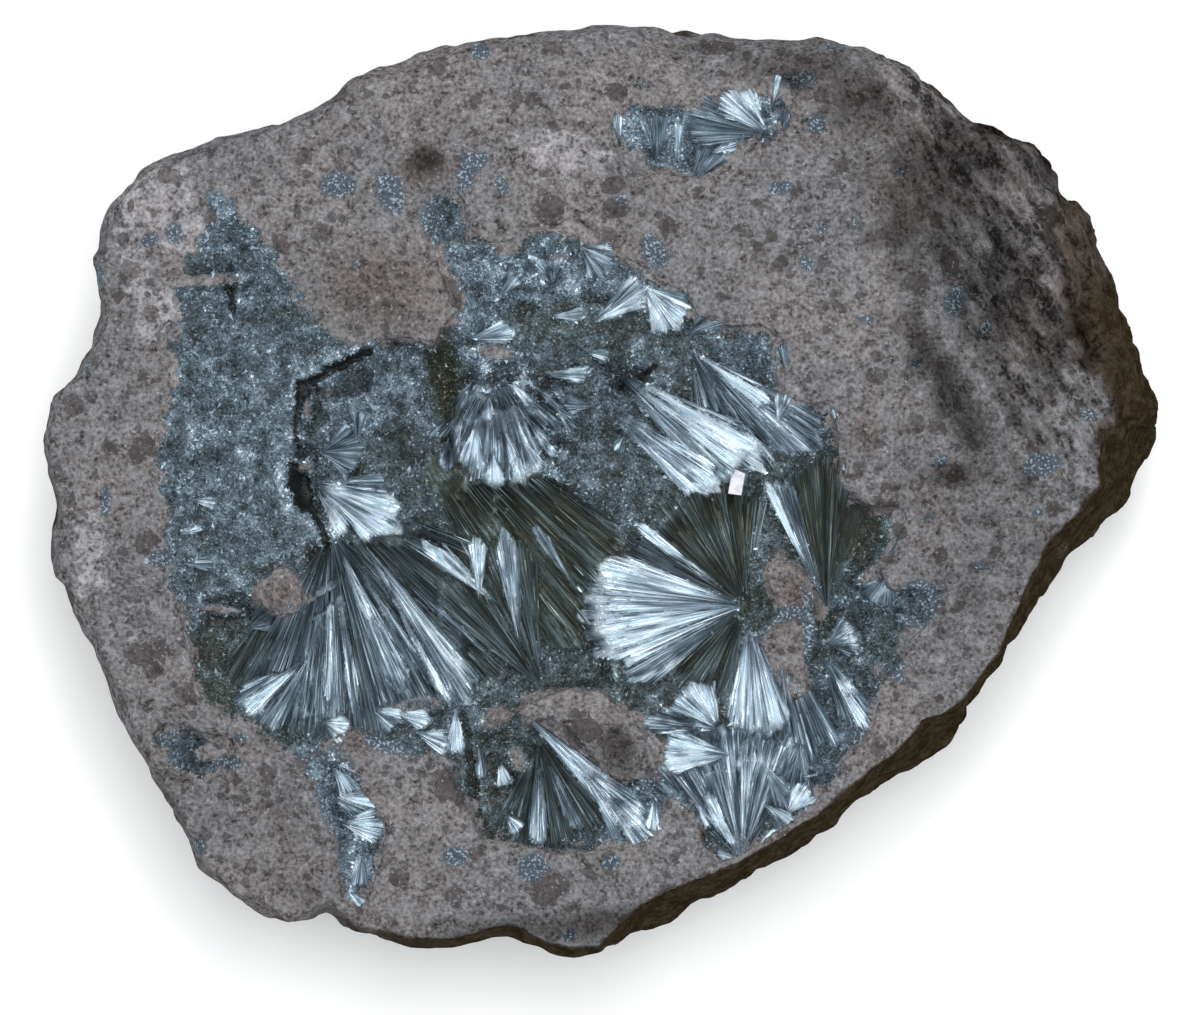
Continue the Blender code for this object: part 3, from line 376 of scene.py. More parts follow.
# Cracks and notches in the rock: half width, depth, then the points that they run through.
CRACKS = [
    (0.5, 1.6, (-58.5, -12.7), (-55.0, -12.5), (-52.5, -11.7)),
    (0.6, 1.8, (-57, -36.2), (-52, -35.6), (-47, -35.4)), (0.5, 1.2, (8.2, 32.0), (7.6, 29.5)),
    (0.6, 1.3, (-31.2, 23.3), (-30.2, 24.0)), (0.6, 1.4, (53, 26), (54.5, 24)),
    (0.6, 0.7, (40.4, 20.5), (42.8, 16.0), (45.4, 11.0), (47.6, 6.0)),
    (0.5, 1.2, (5.5, 57.2), (10, 55.2), (14.5, 56.8)), (0.5, 1.0, (-62.5, -5.5), (-64.5, -5.0)),
    (0.5, 1.2, (60.5, 14), (58, 9)), (0.45, 1.0, (-46, 20.6), (-49, 21.2)),
]


class Expression:
    """A shader socket that Python's operators build Math nodes from."""

    def __init__(self, shader, socket):
        self.shader = shader
        self.socket = socket

    def math(self, operation, *values):
        return self.shader.node("ShaderNodeMath", {"operation": operation}, dict(enumerate(values)))

    def __add__(self, other):
        return self.math("ADD", self, other)

    def __radd__(self, other):
        return self.math("ADD", other, self)

    def __sub__(self, other):
        return self.math("SUBTRACT", self, other)

    def __rsub__(self, other):
        return self.math("SUBTRACT", other, self)

    def __mul__(self, other):
        return self.math("MULTIPLY", self, other)

    def __rmul__(self, other):
        return self.math("MULTIPLY", other, self)

    def __gt__(self, other):
        return self.math("GREATER_THAN", self, other)

    def highest(self, other):
        return self.math("MAXIMUM", self, other)

    def between(self, low, high):
        """0 below low, 1 above high, and smooth between."""
        return self.shader.node("ShaderNodeMapRange", {"interpolation_type": "SMOOTHSTEP"}, {
            "Value": self, "From Min": low, "From Max": high})


class Shader:
    """One material, built node by node."""

    def __init__(self, name):
        self.material = bpy.data.materials.new(name)
        self.material.use_nodes = True
        self.tree = self.material.node_tree
        self.surface = self.tree.nodes["Principled BSDF"]

    def feed(self, socket, value):
        """Links an expression to a socket, or sets the socket to a constant."""
        if isinstance(value, Expression):
            self.tree.links.new(value.socket, socket)
        elif socket.type == "RGBA":
            socket.default_value = (*value[:3], 1.0)
        else:
            socket.default_value = value

    def node(self, kind, settings=None, inputs=None, output=0):
        """Adds a node: its settings first, then its sockets by name or number. Gives one output."""
        made = self.tree.nodes.new(kind)
        for name, value in (settings or {}).items():
            if name == "stops":
                self.set_stops(made.color_ramp, value)
            else:
                setattr(made, name, value)
        for name, value in (inputs or {}).items():
            self.feed(made.inputs[name], value)
        return Expression(self, made.outputs[output])

    def set_stops(self, ramp, stops):
        """Sets a colour ramp to pairs of place and colour."""
        while len(ramp.elements) < len(stops):
            ramp.elements.new(1.0)
        for element, (place, colour) in zip(ramp.elements, stops):
            element.position = place
            element.color = (*colour[:3], 1.0)

    def millimetres(self):
        """The place on the piece, in mm."""
        where = self.node("ShaderNodeTexCoord", output="Object")
        inputs = {"Vector": where, "Scale": 1 / MM}
        return self.node("ShaderNodeVectorMath", {"operation": "SCALE"}, inputs)

    def attribute(self, name, output="Fac"):
        return self.node("ShaderNodeAttribute", {"attribute_name": name}, output=output)

    def noise(self, where, size, detail=2.0, roughness=0.5):
        """Noise about 0.5, with lumps of the given size in the units of where."""
        inputs = {"Vector": where, "Scale": 1 / size, "Detail": detail, "Roughness": roughness}
        return self.node("ShaderNodeTexNoise", None, inputs)

    def cells(self, where, size, output):
        """Distance to the middle of the nearest cell, or that cell's own random colour."""
        return self.node("ShaderNodeTexVoronoi", None, {"Vector": where, "Scale": 1 / size}, output)

    def red(self, colour):
        """The red part of a colour, which of a random colour is a number from 0 to 1."""
        return self.node("ShaderNodeSeparateColor", None, {"Color": colour}, "Red")

    def mix(self, share, first, second, blend="MIX"):
        """A colour between two others. The node's colour sockets share their names, so go by number."""
        settings = {"data_type": "RGBA", "blend_type": blend}
        return self.node("ShaderNodeMix", settings, {0: share, 6: first, 7: second}, 2)

    def blend(self, share, first, second):
        """A number between two others, from the same node's number sockets."""
        return self.node("ShaderNodeMix", {"data_type": "FLOAT"}, {0: share, 2: first, 3: second})

    def bump(self, height, strength, distance):
        return self.node("ShaderNodeBump", None, {
            "Height": height, "Strength": strength, "Distance": distance})

    def finish(self, **inputs):
        """Feeds the surface's sockets and gives the material."""
        for name, value in inputs.items():
            self.feed(self.surface.inputs[name.replace("_", " ")], value)
        return self.material


def colour_property(name, description, value):
    return bpy.props.FloatVectorProperty(
        name=name, description=description, subtype="COLOR", size=3, min=0.0, max=1.0, default=value)


def length_property(name, description, value):
    return bpy.props.FloatProperty(
        name=name, description=description, subtype="DISTANCE", unit="LENGTH", min=0.0, precision=5,
        default=value)


def number_property(name, description, value):
    return bpy.props.FloatProperty(name=name, description=description, min=0.0, default=value)


class RockSettings(bpy.types.PropertyGroup):
    """Sizes and colours of the matrix rock."""
    mesh_size: length_property("Mesh size", "Size of the rock's mesh faces", 0.00076)
    roughening: length_property("Roughening", "How far the rock's surface is roughened", 0.0004)
    ground: colour_property("Ground", "Fine ground of the rock", (0.166, 0.153, 0.154))
    cool: colour_property("Cool ground", "Greyer areas of the ground", (0.146, 0.145, 0.153))
    pale_grain: colour_property("Pale grains", "Scattered pale grains", (0.38, 0.37, 0.41))
    dark_grain: colour_property("Dark spots", "Soft dark spots", (0.052, 0.050, 0.054))
    clast: colour_property("Clasts", "Brown fragments in the rock", (0.050, 0.041, 0.041))
    stain: colour_property("Stain", "Reddish-brown stain", (0.114, 0.098, 0.092))
    pale: colour_property("Pale patches", "Pale pinkish patches", (0.26, 0.25, 0.262))
    # The shaded tint is painted shade, laid on the rock's shade places, low spots and crags.
    shaded: colour_property("Shaded rock", "Tint of dull brown-grey places", (0.24, 0.22, 0.20))
    fleck: colour_property("Metal flecks", "Blue-grey metallic flecks", (0.058, 0.084, 0.110))
    # Glints are painted highlights in the metal flecks.
    glint: colour_property("Glints", "Bright specks in the flecks", (0.44, 0.53, 0.60))
    # The next three colours are brown weathering and painted shade together, on the lower sides and the
    # right facet.
    weathered_and_shaded: colour_property("Weathered side", "Brown, weathered sides", (0.021, 0.015, 0.007))
    weathered_and_shaded_tint: colour_property("Weathering", "Tint of the weathered facet", (0.35, 0.30, 0.25))
    weathered_and_shaded_pale: colour_property("Worn side", "Paler brown of the sides", (0.056, 0.045, 0.029))


class VeinSettings(bpy.types.PropertyGroup):
    """Sizes and colours of the pyrolusite."""
    mesh_size: length_property("Mesh size", "Size of the crust's mesh faces", 0.00029)
    fibre: length_property("Fibre", "Spacing of the blades in a spray", 0.00017)
    layers: number_property("Layers", "Blades that overlap", 2.8)
    blade_width: length_property("Blade width", "Usual width of a blade", 0.00034)
    blade_height: length_property("Blade height", "Height of a blade's ridge", 0.00011)
    grain_size: length_property("Grain size", "Size of the crust's small crystals", 0.00041)
    grains_per_mm2: number_property("Grains per mm2", "How closely the small crystals stand", 7.0)
    # The five tones are one pyrolusite, partly painted reflection: black where it is turned from the
    # light, silver where it catches it.
    tone_0: colour_property("Black", "Blades turned from the light", (0.022, 0.028, 0.031))
    tone_1: colour_property("Dark", "Dark steel-grey", (0.052, 0.070, 0.083))
    tone_2: colour_property("Middle", "Blue steel-grey", (0.108, 0.146, 0.180))
    tone_3: colour_property("Light", "Light blue-grey", (0.26, 0.345, 0.415))
    tone_4: colour_property("Silver", "Silvery blades", (0.74, 0.85, 0.92))
    olive: colour_property("Olive", "Brown-olive fibres", (0.064, 0.066, 0.046))
    olive_tint: colour_property("Olive tint", "Tint of bright olive blades", (1.0, 0.96, 0.72))
    flake: colour_property("Flake", "Pale cleavage flake", (0.58, 0.56, 0.60))
    flake_veil: colour_property("Flake's veil", "Duller patches of the flake", (0.42, 0.43, 0.48))


class StageSettings(bpy.types.PropertyGroup):
    """Floor, lights and camera."""
    floor: colour_property("Floor", "Pale floor", (0.80, 0.80, 0.80))
    floor_glow: number_property("Floor glow", "Light from the floor", 0.22)
    lens: number_property("Lens", "Focal length in mm", 600.0)
    frame_width: length_property("Frame width", "Width of the view at the crystal face", 0.150)
    key: number_property("Key light", "Power of the key light", 7.0)
    top: number_property("Top light", "Power of the overhead light", 27.0)
    sky: number_property("Sky", "Strength of the even light", 0.50)
    sky_colour: colour_property("Sky colour", "Colour of the even light", (0.93, 0.97, 1.0))


def rise(values, start, width):
    """0 up to the start and then rising to 1 over the width, or falling to it if that is negative."""
    return np.clip((values - start) / width, 0, 1)


def oval_distance(x, y, oval):
    """Distance of each point from an oval's middle, as 1 on its rim."""
    middle_x, middle_y, half_length, half_width, turn = oval
    angle = math.radians(turn)
    along = (x - middle_x) * math.cos(angle) + (y - middle_y) * math.sin(angle)
    across = (y - middle_y) * math.cos(angle) - (x - middle_x) * math.sin(angle)
    return np.hypot(along / half_length, across / half_width)


def in_places(x, y, places, soft=0.45):
    """1 inside any of the ovals, fading to 0 just outside."""
    mask = np.zeros(x.shape)
    for oval in places:
        mask = np.maximum(mask, rise(oval_distance(x, y, oval), 1 + soft, -2 * soft))
    return mask


def lumps(x, y, z, size):
    """Smooth noise, about -1 to 1, at each point. Each z is a layer of its own."""
    places = np.stack(np.broadcast_arrays(x / size, y / size, z / size), axis=-1)
    found = [noise.noise(Vector(place)) for place in places.reshape(-1, 3).tolist()]
    return np.array(found).reshape(places.shape[:-1])


def crack_depths(x, y, cracks):
    """How deep each point lies in steep-sided cracks."""
    depth = np.zeros(x.shape)
    stir = 0.5 * lumps(x, y, 90, 1.1)
    for half_width, deepest, *line in cracks:
        for (x0, y0), (x1, y1) in zip(line, line[1:]):
            span = (x1 - x0) ** 2 + (y1 - y0) ** 2
            share = np.clip(((x - x0) * (x1 - x0) + (y - y0) * (y1 - y0)) / span, 0, 1)
            away = np.hypot(x - x0 - share * (x1 - x0), y - y0 - share * (y1 - y0))
            wall = 1.6 * (1.3 + stir - away / half_width)
            depth = np.maximum(depth, deepest * np.clip(wall, 0, 1))
    return depth


def hollow_depths(x, y, places):
    """How deep each point lies in bowl-shaped places, whose last number is their depth."""
    depth = np.zeros(x.shape)
    stir = 0.5 * lumps(x, y, 60, 2.2) + 0.3 * lumps(x, y, 70, 0.8)
    for *oval, deepest in places:
        depth += deepest * np.clip(1.25 - (oval_distance(x, y, oval) + stir) ** 2, 0, 1)
    return depth


def mesh_points(mesh):
    flat = np.empty(len(mesh.vertices) * 3)
    mesh.vertices.foreach_get("co", flat)
    return flat.reshape(-1, 3)


def mesh_normals(mesh):
    flat = np.empty(len(mesh.vertices) * 3)
    mesh.vertex_normals.foreach_get("vector", flat)
    return flat.reshape(-1, 3)


def set_points(mesh, points):
    """Moves a mesh's points, kept inside the CAD's box."""
    low, high = (np.array(corner) for corner in CAD_BOX)
    mesh.vertices.foreach_set("co", np.clip(points, low, high).astype(np.float32).ravel())
    mesh.update()


def set_attribute(mesh, name, values, kind="FLOAT"):
    layer = mesh.attributes.get(name) or mesh.attributes.new(name, kind, "POINT")
    field = "vector" if kind == "FLOAT_VECTOR" else "value"
    layer.data.foreach_set(field, np.asarray(values).ravel())


def link(name, mesh):
    piece = bpy.data.objects.new(name, mesh)
    bpy.context.scene.collection.objects.link(piece)
    return piece


def evaluated(piece):
    """A plain mesh of the piece with its modifiers applied."""
    graph = bpy.context.evaluated_depsgraph_get()
    graph.update()
    return bpy.data.meshes.new_from_object(piece.evaluated_get(graph))


def merged_copy(node):
    """A copy of a CAD node's mesh with its loose triangles joined."""
    points = []
    faces = []
    places = {}
    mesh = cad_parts[node].data
    for polygon in mesh.polygons:
        corners = []
        for vertex in polygon.vertices:
            place = tuple(round(c, 7) for c in mesh.vertices[vertex].co)
            if place not in places:
                places[place] = len(points)
                points.append(place)
            corners.append(places[place])
        if len(set(corners)) == 3:
            faces.append(corners)
    merged = bpy.data.meshes.new(node)
    merged.from_pydata(points, [], faces)
    return merged


def remeshed(node, voxel):
    """A closed, even mesh over a CAD node."""
    piece = link(node + "_copy", merged_copy(node))
    modifier = piece.modifiers.new("Remesh", "REMESH")
    modifier.mode = "VOXEL"
    modifier.voxel_size = voxel
    mesh = evaluated(piece)
    bpy.data.objects.remove(piece)
    return mesh


def tree_of(mesh):
    """The mesh's faces, in mm, ready for rays."""
    points = (mesh_points(mesh) / MM).tolist()
    return BVHTree.FromPolygons(points, [tuple(face.vertices) for face in mesh.polygons])


def heights(tree, x, y):
    """Height in mm of the first surface below each point, and 0 where there is none."""
    down = Vector((0, 0, -1))
    found = []
    for px, py in zip(x.ravel().tolist(), y.ravel().tolist()):
        hit = tree.ray_cast(Vector((px, py, ABOVE)), down)[0]
        found.append(hit.z if hit else 0.0)
    return np.array(found).reshape(x.shape)


# ---------------------------------------------------------------- looks that pieces share

def rock_look(shader, rock, mm, crags=0.0):
    """Colour, metal share and height of the rock, with painted shade, and crags where they are given.
    """
    fine = shader.noise(mm, size=0.5, detail=2.0, roughness=0.6)
    middle = shader.noise(mm, size=1.7, detail=3.0, roughness=0.7)
    # The crags' part of the value is painted light and shade: lighter on their high parts, darker in
    # their low ones.
    value = (0.98 + 2.6 * (fine - 0.5) + 2.5 * (middle - 0.5) + 4.2 * crags).highest(0.2)
    grey = shader.node("ShaderNodeCombineColor", None, {"Red": value, "Green": value, "Blue": value})
    colour = shader.mix(1.0, stained_ground(shader, rock, mm, middle), grey, "MULTIPLY")
    colour = spotted(shader, rock, mm, middle, colour)
    fleck = (shader.attribute("blue") + 1.5 * (middle - 0.5)) * (0.3 + 1.4 * fine)
    fleck = fleck.between(0.36, 0.66)
    # Painted highlights: glints in the flecks.
    glint = shader.noise(mm, size=0.34, detail=1.0).between(0.52, 0.66) * fleck
    colour = shader.mix(fleck * 0.8, colour, tuple(rock.fleck))
    colour = shader.mix(glint * 0.6, colour, tuple(rock.glint))
    # Painted shade: the shade attribute and the crags' low parts darken the colour with the shaded
    # tint.
    shade = (shader.attribute("shade") * (0.7 + 0.8 * middle) - 1.2 * crags).between(0.0, 1.2)
    colour = shader.mix(shade * 0.9, colour, tuple(rock.shaded), "MULTIPLY")
    colour = weathered_and_shaded(shader, rock, fine, middle, colour)
    return colour, fleck * 0.5, fine + 0.8 * middle + 3.0 * crags


def stained_ground(shader, rock, mm, middle):
    """The rock's ground, in two greys, with reddish-brown stains and pale patches."""
    broad = shader.noise(mm, size=13.0)
    ground = shader.mix((broad + middle - 0.5).between(0.4, 0.6), tuple(rock.ground), tuple(rock.cool))
    red = (shader.attribute("red") + 1.4 * (middle - 0.5)).between(0.25, 0.95)
    ground = shader.mix(red * 0.8, ground, tuple(rock.stain))
    pale = (shader.attribute("pale") + 1.6 * (middle - 0.5)).between(0.3, 1.0)
    return shader.mix(pale * 0.8, ground, tuple(rock.pale))


def spotted(shader, rock, mm, middle, colour):
    """Dark spots, brown clasts of two sizes and pale grains over a colour."""
    dark = clasts(shader, mm, middle, size=1.1, share=0.10)
    colour = shader.mix(dark * 0.65, colour, tuple(rock.dark_grain))
    small = clasts(shader, mm, middle, size=2.4, share=0.09)
    colour = shader.mix(small * 0.60, colour, tuple(rock.clast))
    placed = (shader.attribute("brown") + 1.2 * (middle - 0.5)).between(0.42, 0.6)
    large = clasts(shader, mm, middle, size=4.2, share=0.05).highest(placed)
    colour = shader.mix(large * 0.72, colour, tuple(rock.clast))
    pale = shader.noise(mm, size=0.52).between(0.62, 0.72)
    return shader.mix(pale * 0.5, colour, tuple(rock.pale_grain))


def weathered_and_shaded(shader, rock, fine, middle, colour):
    """A colour tinted and then covered by brown weathering and painted shade, as the side attribute
    rises.
    """
    side = shader.attribute("side") + 0.35 * (middle - 0.5) + 0.3 * (fine - 0.5)
    patchy = (middle + 0.4 * (fine - 0.5)).between(0.34, 0.74)
    dirt_and_shade = shader.mix(patchy, tuple(rock.weathered_and_shaded), tuple(rock.weathered_and_shaded_pale))
    colour = shader.mix(side.between(0.15, 0.55), colour, tuple(rock.weathered_and_shaded_tint), "MULTIPLY")
    return shader.mix(side.between(0.5, 0.9), colour, dirt_and_shade)


def slanted_crags_and_shade(shader, mm):
    """Slanting crags about 0, only where the rock is wild, for bump and painted light and shade."""
    slanted = shader.node("ShaderNodeMapping", {"vector_type": "TEXTURE"}, {
        "Vector": mm, "Rotation": (0.0, 0.0, -0.98), "Scale": (2.6, 0.9, 1.0)})
    crags = shader.noise(slanted, size=2.4, detail=3.0, roughness=0.65)
    return shader.attribute("wild") * (crags - 0.5)


def clasts(shader, mm, stir, size, share):
    """1 inside scattered fragments, up to about the given size, that fill up to a share of the rock."""
    nudge = shader.node("ShaderNodeCombineXYZ", None, {"X": stir * size, "Y": stir * -size, "Z": size})
    where = shader.node("ShaderNodeVectorMath", {"operation": "ADD"}, {"Vector": mm, 1: nudge})
    away = shader.cells(where, size, "Distance")
    chosen = shader.red(shader.cells(where, size, "Color")) - (1 - share)
    return (chosen * (0.5 / share) + 0.25 - away).between(0.0, 0.05) * (chosen > 0.0)


def set_rock_places(mesh, points, upward):
    """Stores where the rock is pale, reddish, metallic or brown, by how far it faces upward."""
    x, y = points[:, 0], points[:, 1]
    for name, places, soft in (
        ("pale", PALE_PLACES, 0.45), ("red", RED_PLACES, 0.7),
        ("blue", BLUE_PLACES + METAL_IN_ROCK, 0.5), ("brown", BROWN_PLACES, 0.25),
    ):
        set_attribute(mesh, name, in_places(x, y, places, soft) * upward)


def metal_colour(shader, vein, tone, tint):
    """Pyrolusite's colour for a tone from dark to silver and a tint from blue-grey to olive."""
    # The tone is partly painted reflection: silver where blades catch the light, black where they are
    # turned from it.
    tone = tone * 0.94 + 0.05
    tones = (vein.tone_0, vein.tone_1, vein.tone_2, vein.tone_3, vein.tone_4)
    stops = [(k / (len(tones) - 1), colour) for k, colour in enumerate(tones)]
    colour = shader.node("ShaderNodeValToRGB", {"stops": stops}, {"Fac": tone})
    colour = shader.mix(tint, colour, tuple(vein.olive_tint), "MULTIPLY")
    return shader.mix(tint * (1 - tone.between(0.25, 0.55)), colour, tuple(vein.olive))


def fibre_look(shader, mm):
    """Fine streaks that run out from a spray's apex, and more of them far from it."""
    away = shader.node("ShaderNodeVectorMath", {"operation": "SUBTRACT"}, {
        "Vector": mm, 1: shader.attribute("apex", "Vector")})
    x, y = (shader.node("ShaderNodeSeparateXYZ", None, {"Vector": away}, axis) for axis in ("X", "Y"))
    angle = y.math("ARCTAN2", y, x)
    radius = shader.node("ShaderNodeVectorMath", {"operation": "LENGTH"}, {"Vector": away}, "Value")
    near, far = (streaks(shader, angle * lines, radius) for lines in STREAKS)
    return shader.blend(radius.between(*STREAKS_CHANGE), near, far)


def streaks(shader, across, along):
    """Noise in long lines, each about one unit of across wide."""
    where = shader.node("ShaderNodeCombineXYZ", None, {"X": across, "Y": along * 0.45})
    return shader.noise(where, size=1.0, detail=3.0, roughness=0.8)


# ---------------------------------------------------------------- rock

class SPECIMEN_OT_rock(bpy.types.Operator):
    """Roughen the block and give it its granular rock"""
    bl_idname = "specimen.rock"
    bl_label = "Matrix Rock"

    def execute(self, context):
        rock = context.scene.specimen_rock
        mesh = remeshed("matrix", rock.mesh_size)
        mesh.name = "matrix_rock"
        points = mesh_points(mesh) / MM
        normals = mesh_normals(mesh)
        x, y, z = points.T
        wild = wildness(x, y)
        push = rock_push(points, normals, wild, rock.roughening / MM)
        moved = points + normals * push[:, None]
        depth = crack_depths(x, y, CRACKS) + hollow_depths(x, y, ROCK_HOLLOWS)
        moved[:, 2] -= depth * np.clip(normals[:, 2] * 2, 0, 1)
        set_points(mesh, moved * MM)
        set_rock_places(mesh, points, np.clip(normals[:, 2] * 3, 0, 1))
        set_attribute(mesh, "side", side_share(points, normals))
        # Painted shade: the rock's low spots, its shade places and its soft shade places darken its
        # colour.
        low_spot_shade = np.clip(-1.1 * push - 0.05, 0, 0.6) * np.clip(normals[:, 2], 0, 1)
        painted_shade = 0.8 * in_places(x, y, SHADE_PLACES, soft=0.7) + hollow_depths(x, y, SOFT_SHADE_PLACES)
        set_attribute(mesh, "shade", np.clip(painted_shade + low_spot_shade, 0, 1))
        set_attribute(mesh, "wild", wild)
        mesh.shade_smooth()
        mesh.materials.clear()
        mesh.materials.append(rock_material(rock))
        piece = link("matrix_rock", mesh)
        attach(piece, BODY)
        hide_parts("matrix")
        return {"FINISHED"}


def rock_material(rock):
    """The rock's own finish, with painted shade, and crags where it is wild."""
    shader = Shader("matrix_rock")
    mm = shader.millimetres()
    colour, metal, height = rock_look(shader, rock, mm, slanted_crags_and_shade(shader, mm))
    return shader.finish(
        Base_Color=colour, Metallic=metal, Roughness=0.88 - 0.5 * metal, Specular_IOR_Level=0.0,
        Normal=shader.bump(height, strength=0.9, distance=0.35 * MM))


def wildness(x, y):
    """1 on the craggy slope at the upper right, and 0 elsewhere."""
    return rise(x + 0.375 * y, 50, 8) * rise(y, -6, 10)


def rock_push(points, normals, wild, roughening):
    """How far (mm) each point moves out: lumps all over, crags on the sides, and ledges where wild."""
    x, y, z = points.T
    steep = rise(normals[:, 2], 0.68, -0.3)
    shape = 0.9 * lumps(x, y, z, 6.0) + 0.7 * lumps(x, y, z + 40, 2.6)
    shape += 0.6 * lumps(x, y, z + 80, 1.3) * (1 - 0.8 * steep)
    crags = np.abs(lumps(x, y, z + 120, 7.0)) * steep * 2.4
    along, across = 0.55 * x - 0.83 * y, 0.83 * x + 0.55 * y
    large = 2.4 * (0.35 - np.abs(lumps(along / 2, across, z + 160, 6.0)))
    small = 1.5 * (0.3 - np.abs(lumps(along / 1.6, across, z + 190, 2.8)))
    ledges = wild * (large + small)
    push = roughening * (shape * (1 + 0.8 * steep + 0.6 * wild) + 1.6 * ledges - crags)
    return push * rise(z, 0, 1.5)


def side_share(points, normals):
    """Weathering and painted shade: the lower sides, and the steep faces at the right and lower right.
    """
    x, y, z = points.T
    steep = rise(normals[:, 2], 0.93, -0.2)
    patches = 0.62 + 0.4 * lumps(x, y, z, 15.0) + 0.3 * lumps(x, y, z, 5.0) + 0.2 * lumps(x, y, z, 1.8)
    lower_right = np.clip((x - y - 14) / 26 + 0.5 * (patches - 0.6), 0, 1)
    lower_right *= rise(y, 52, -30)
    low = rise(z, 41, -12)
    edge = np.interp(y, *RIGHT_FACET) + 2.4 * lumps(x, y, z, 5.0) + 1.2 * lumps(x, y, z, 1.6)
    facet = 0.56 * np.clip((x - edge) / 2.6 + 0.5, 0, 1)
    facet = facet * rise(y, 4, 3) * rise(y, 41, -4)
    outward = np.clip(3 * (normals[:, 0] * x + normals[:, 1] * y) / np.hypot(x, y) + 0.5, 0, 1)
    outward *= 1 - in_places(x, y, PLAIN_WALL_PLACES, soft=0.12)
    return np.clip(np.maximum(outward * steep * np.maximum(lower_right, low * patches), facet), 0, 1)


# ---------------------------------------------------------------- sheets that carry the crystals

def blurred(grid, cells):
    """The grid softened over about so many cells."""
    reach = int(3 * cells)
    weights = [math.exp(-0.5 * (k / cells) ** 2) for k in range(-reach, reach + 1)]
    for axis in (0, 1):
        shifted = (np.roll(grid, k, axis) for k in range(-reach, reach + 1))
        grid = sum(weight * part for weight, part in zip(weights, shifted)) / sum(weights)
    return grid


def spread(grid, cells, choose):
    """Each cell made the highest or lowest of those around it."""
    for axis in (0, 1):
        found = grid
        for k in range(-cells, cells + 1):
            found = choose(found, np.roll(grid, k, axis))
        grid = found
    return grid


def spray_depth(spray, number, x, y):
    """How far (mm) points lie inside a spray with ragged sides and tips, their angle and radius."""
    reach = spray.reach
    opening = spray.end - spray.start
    angle = np.arctan2(y - spray.y, x - spray.x)
    radius = np.hypot(x - spray.x, y - spray.y)
    turned = (np.degrees(angle) - spray.start) % 360
    edge = np.minimum(turned, opening - turned)
    wide = lumps(angle * reach * 0.42, number, 0, 1.0)
    narrow = lumps(angle * reach * 1.3, radius * 0.1 + number, 50, 1.0)
    middle = 1 - rise(edge, 0, 0.5 * opening)
    tips = reach * (1 - 0.16 * middle ** 2)
    tips = tips + min(0.20 * reach, 2.0) * wide + min(0.08 * reach, 0.8) * narrow - radius
    sides = radius * np.sin(np.radians(np.clip(edge, -20, 20)))
    sides = sides + 0.35 * lumps(radius * 0.5, number, angle, 1.0)
    return np.minimum(np.minimum(tips, sides), radius - 0.8 * spray.inner), angle, radius


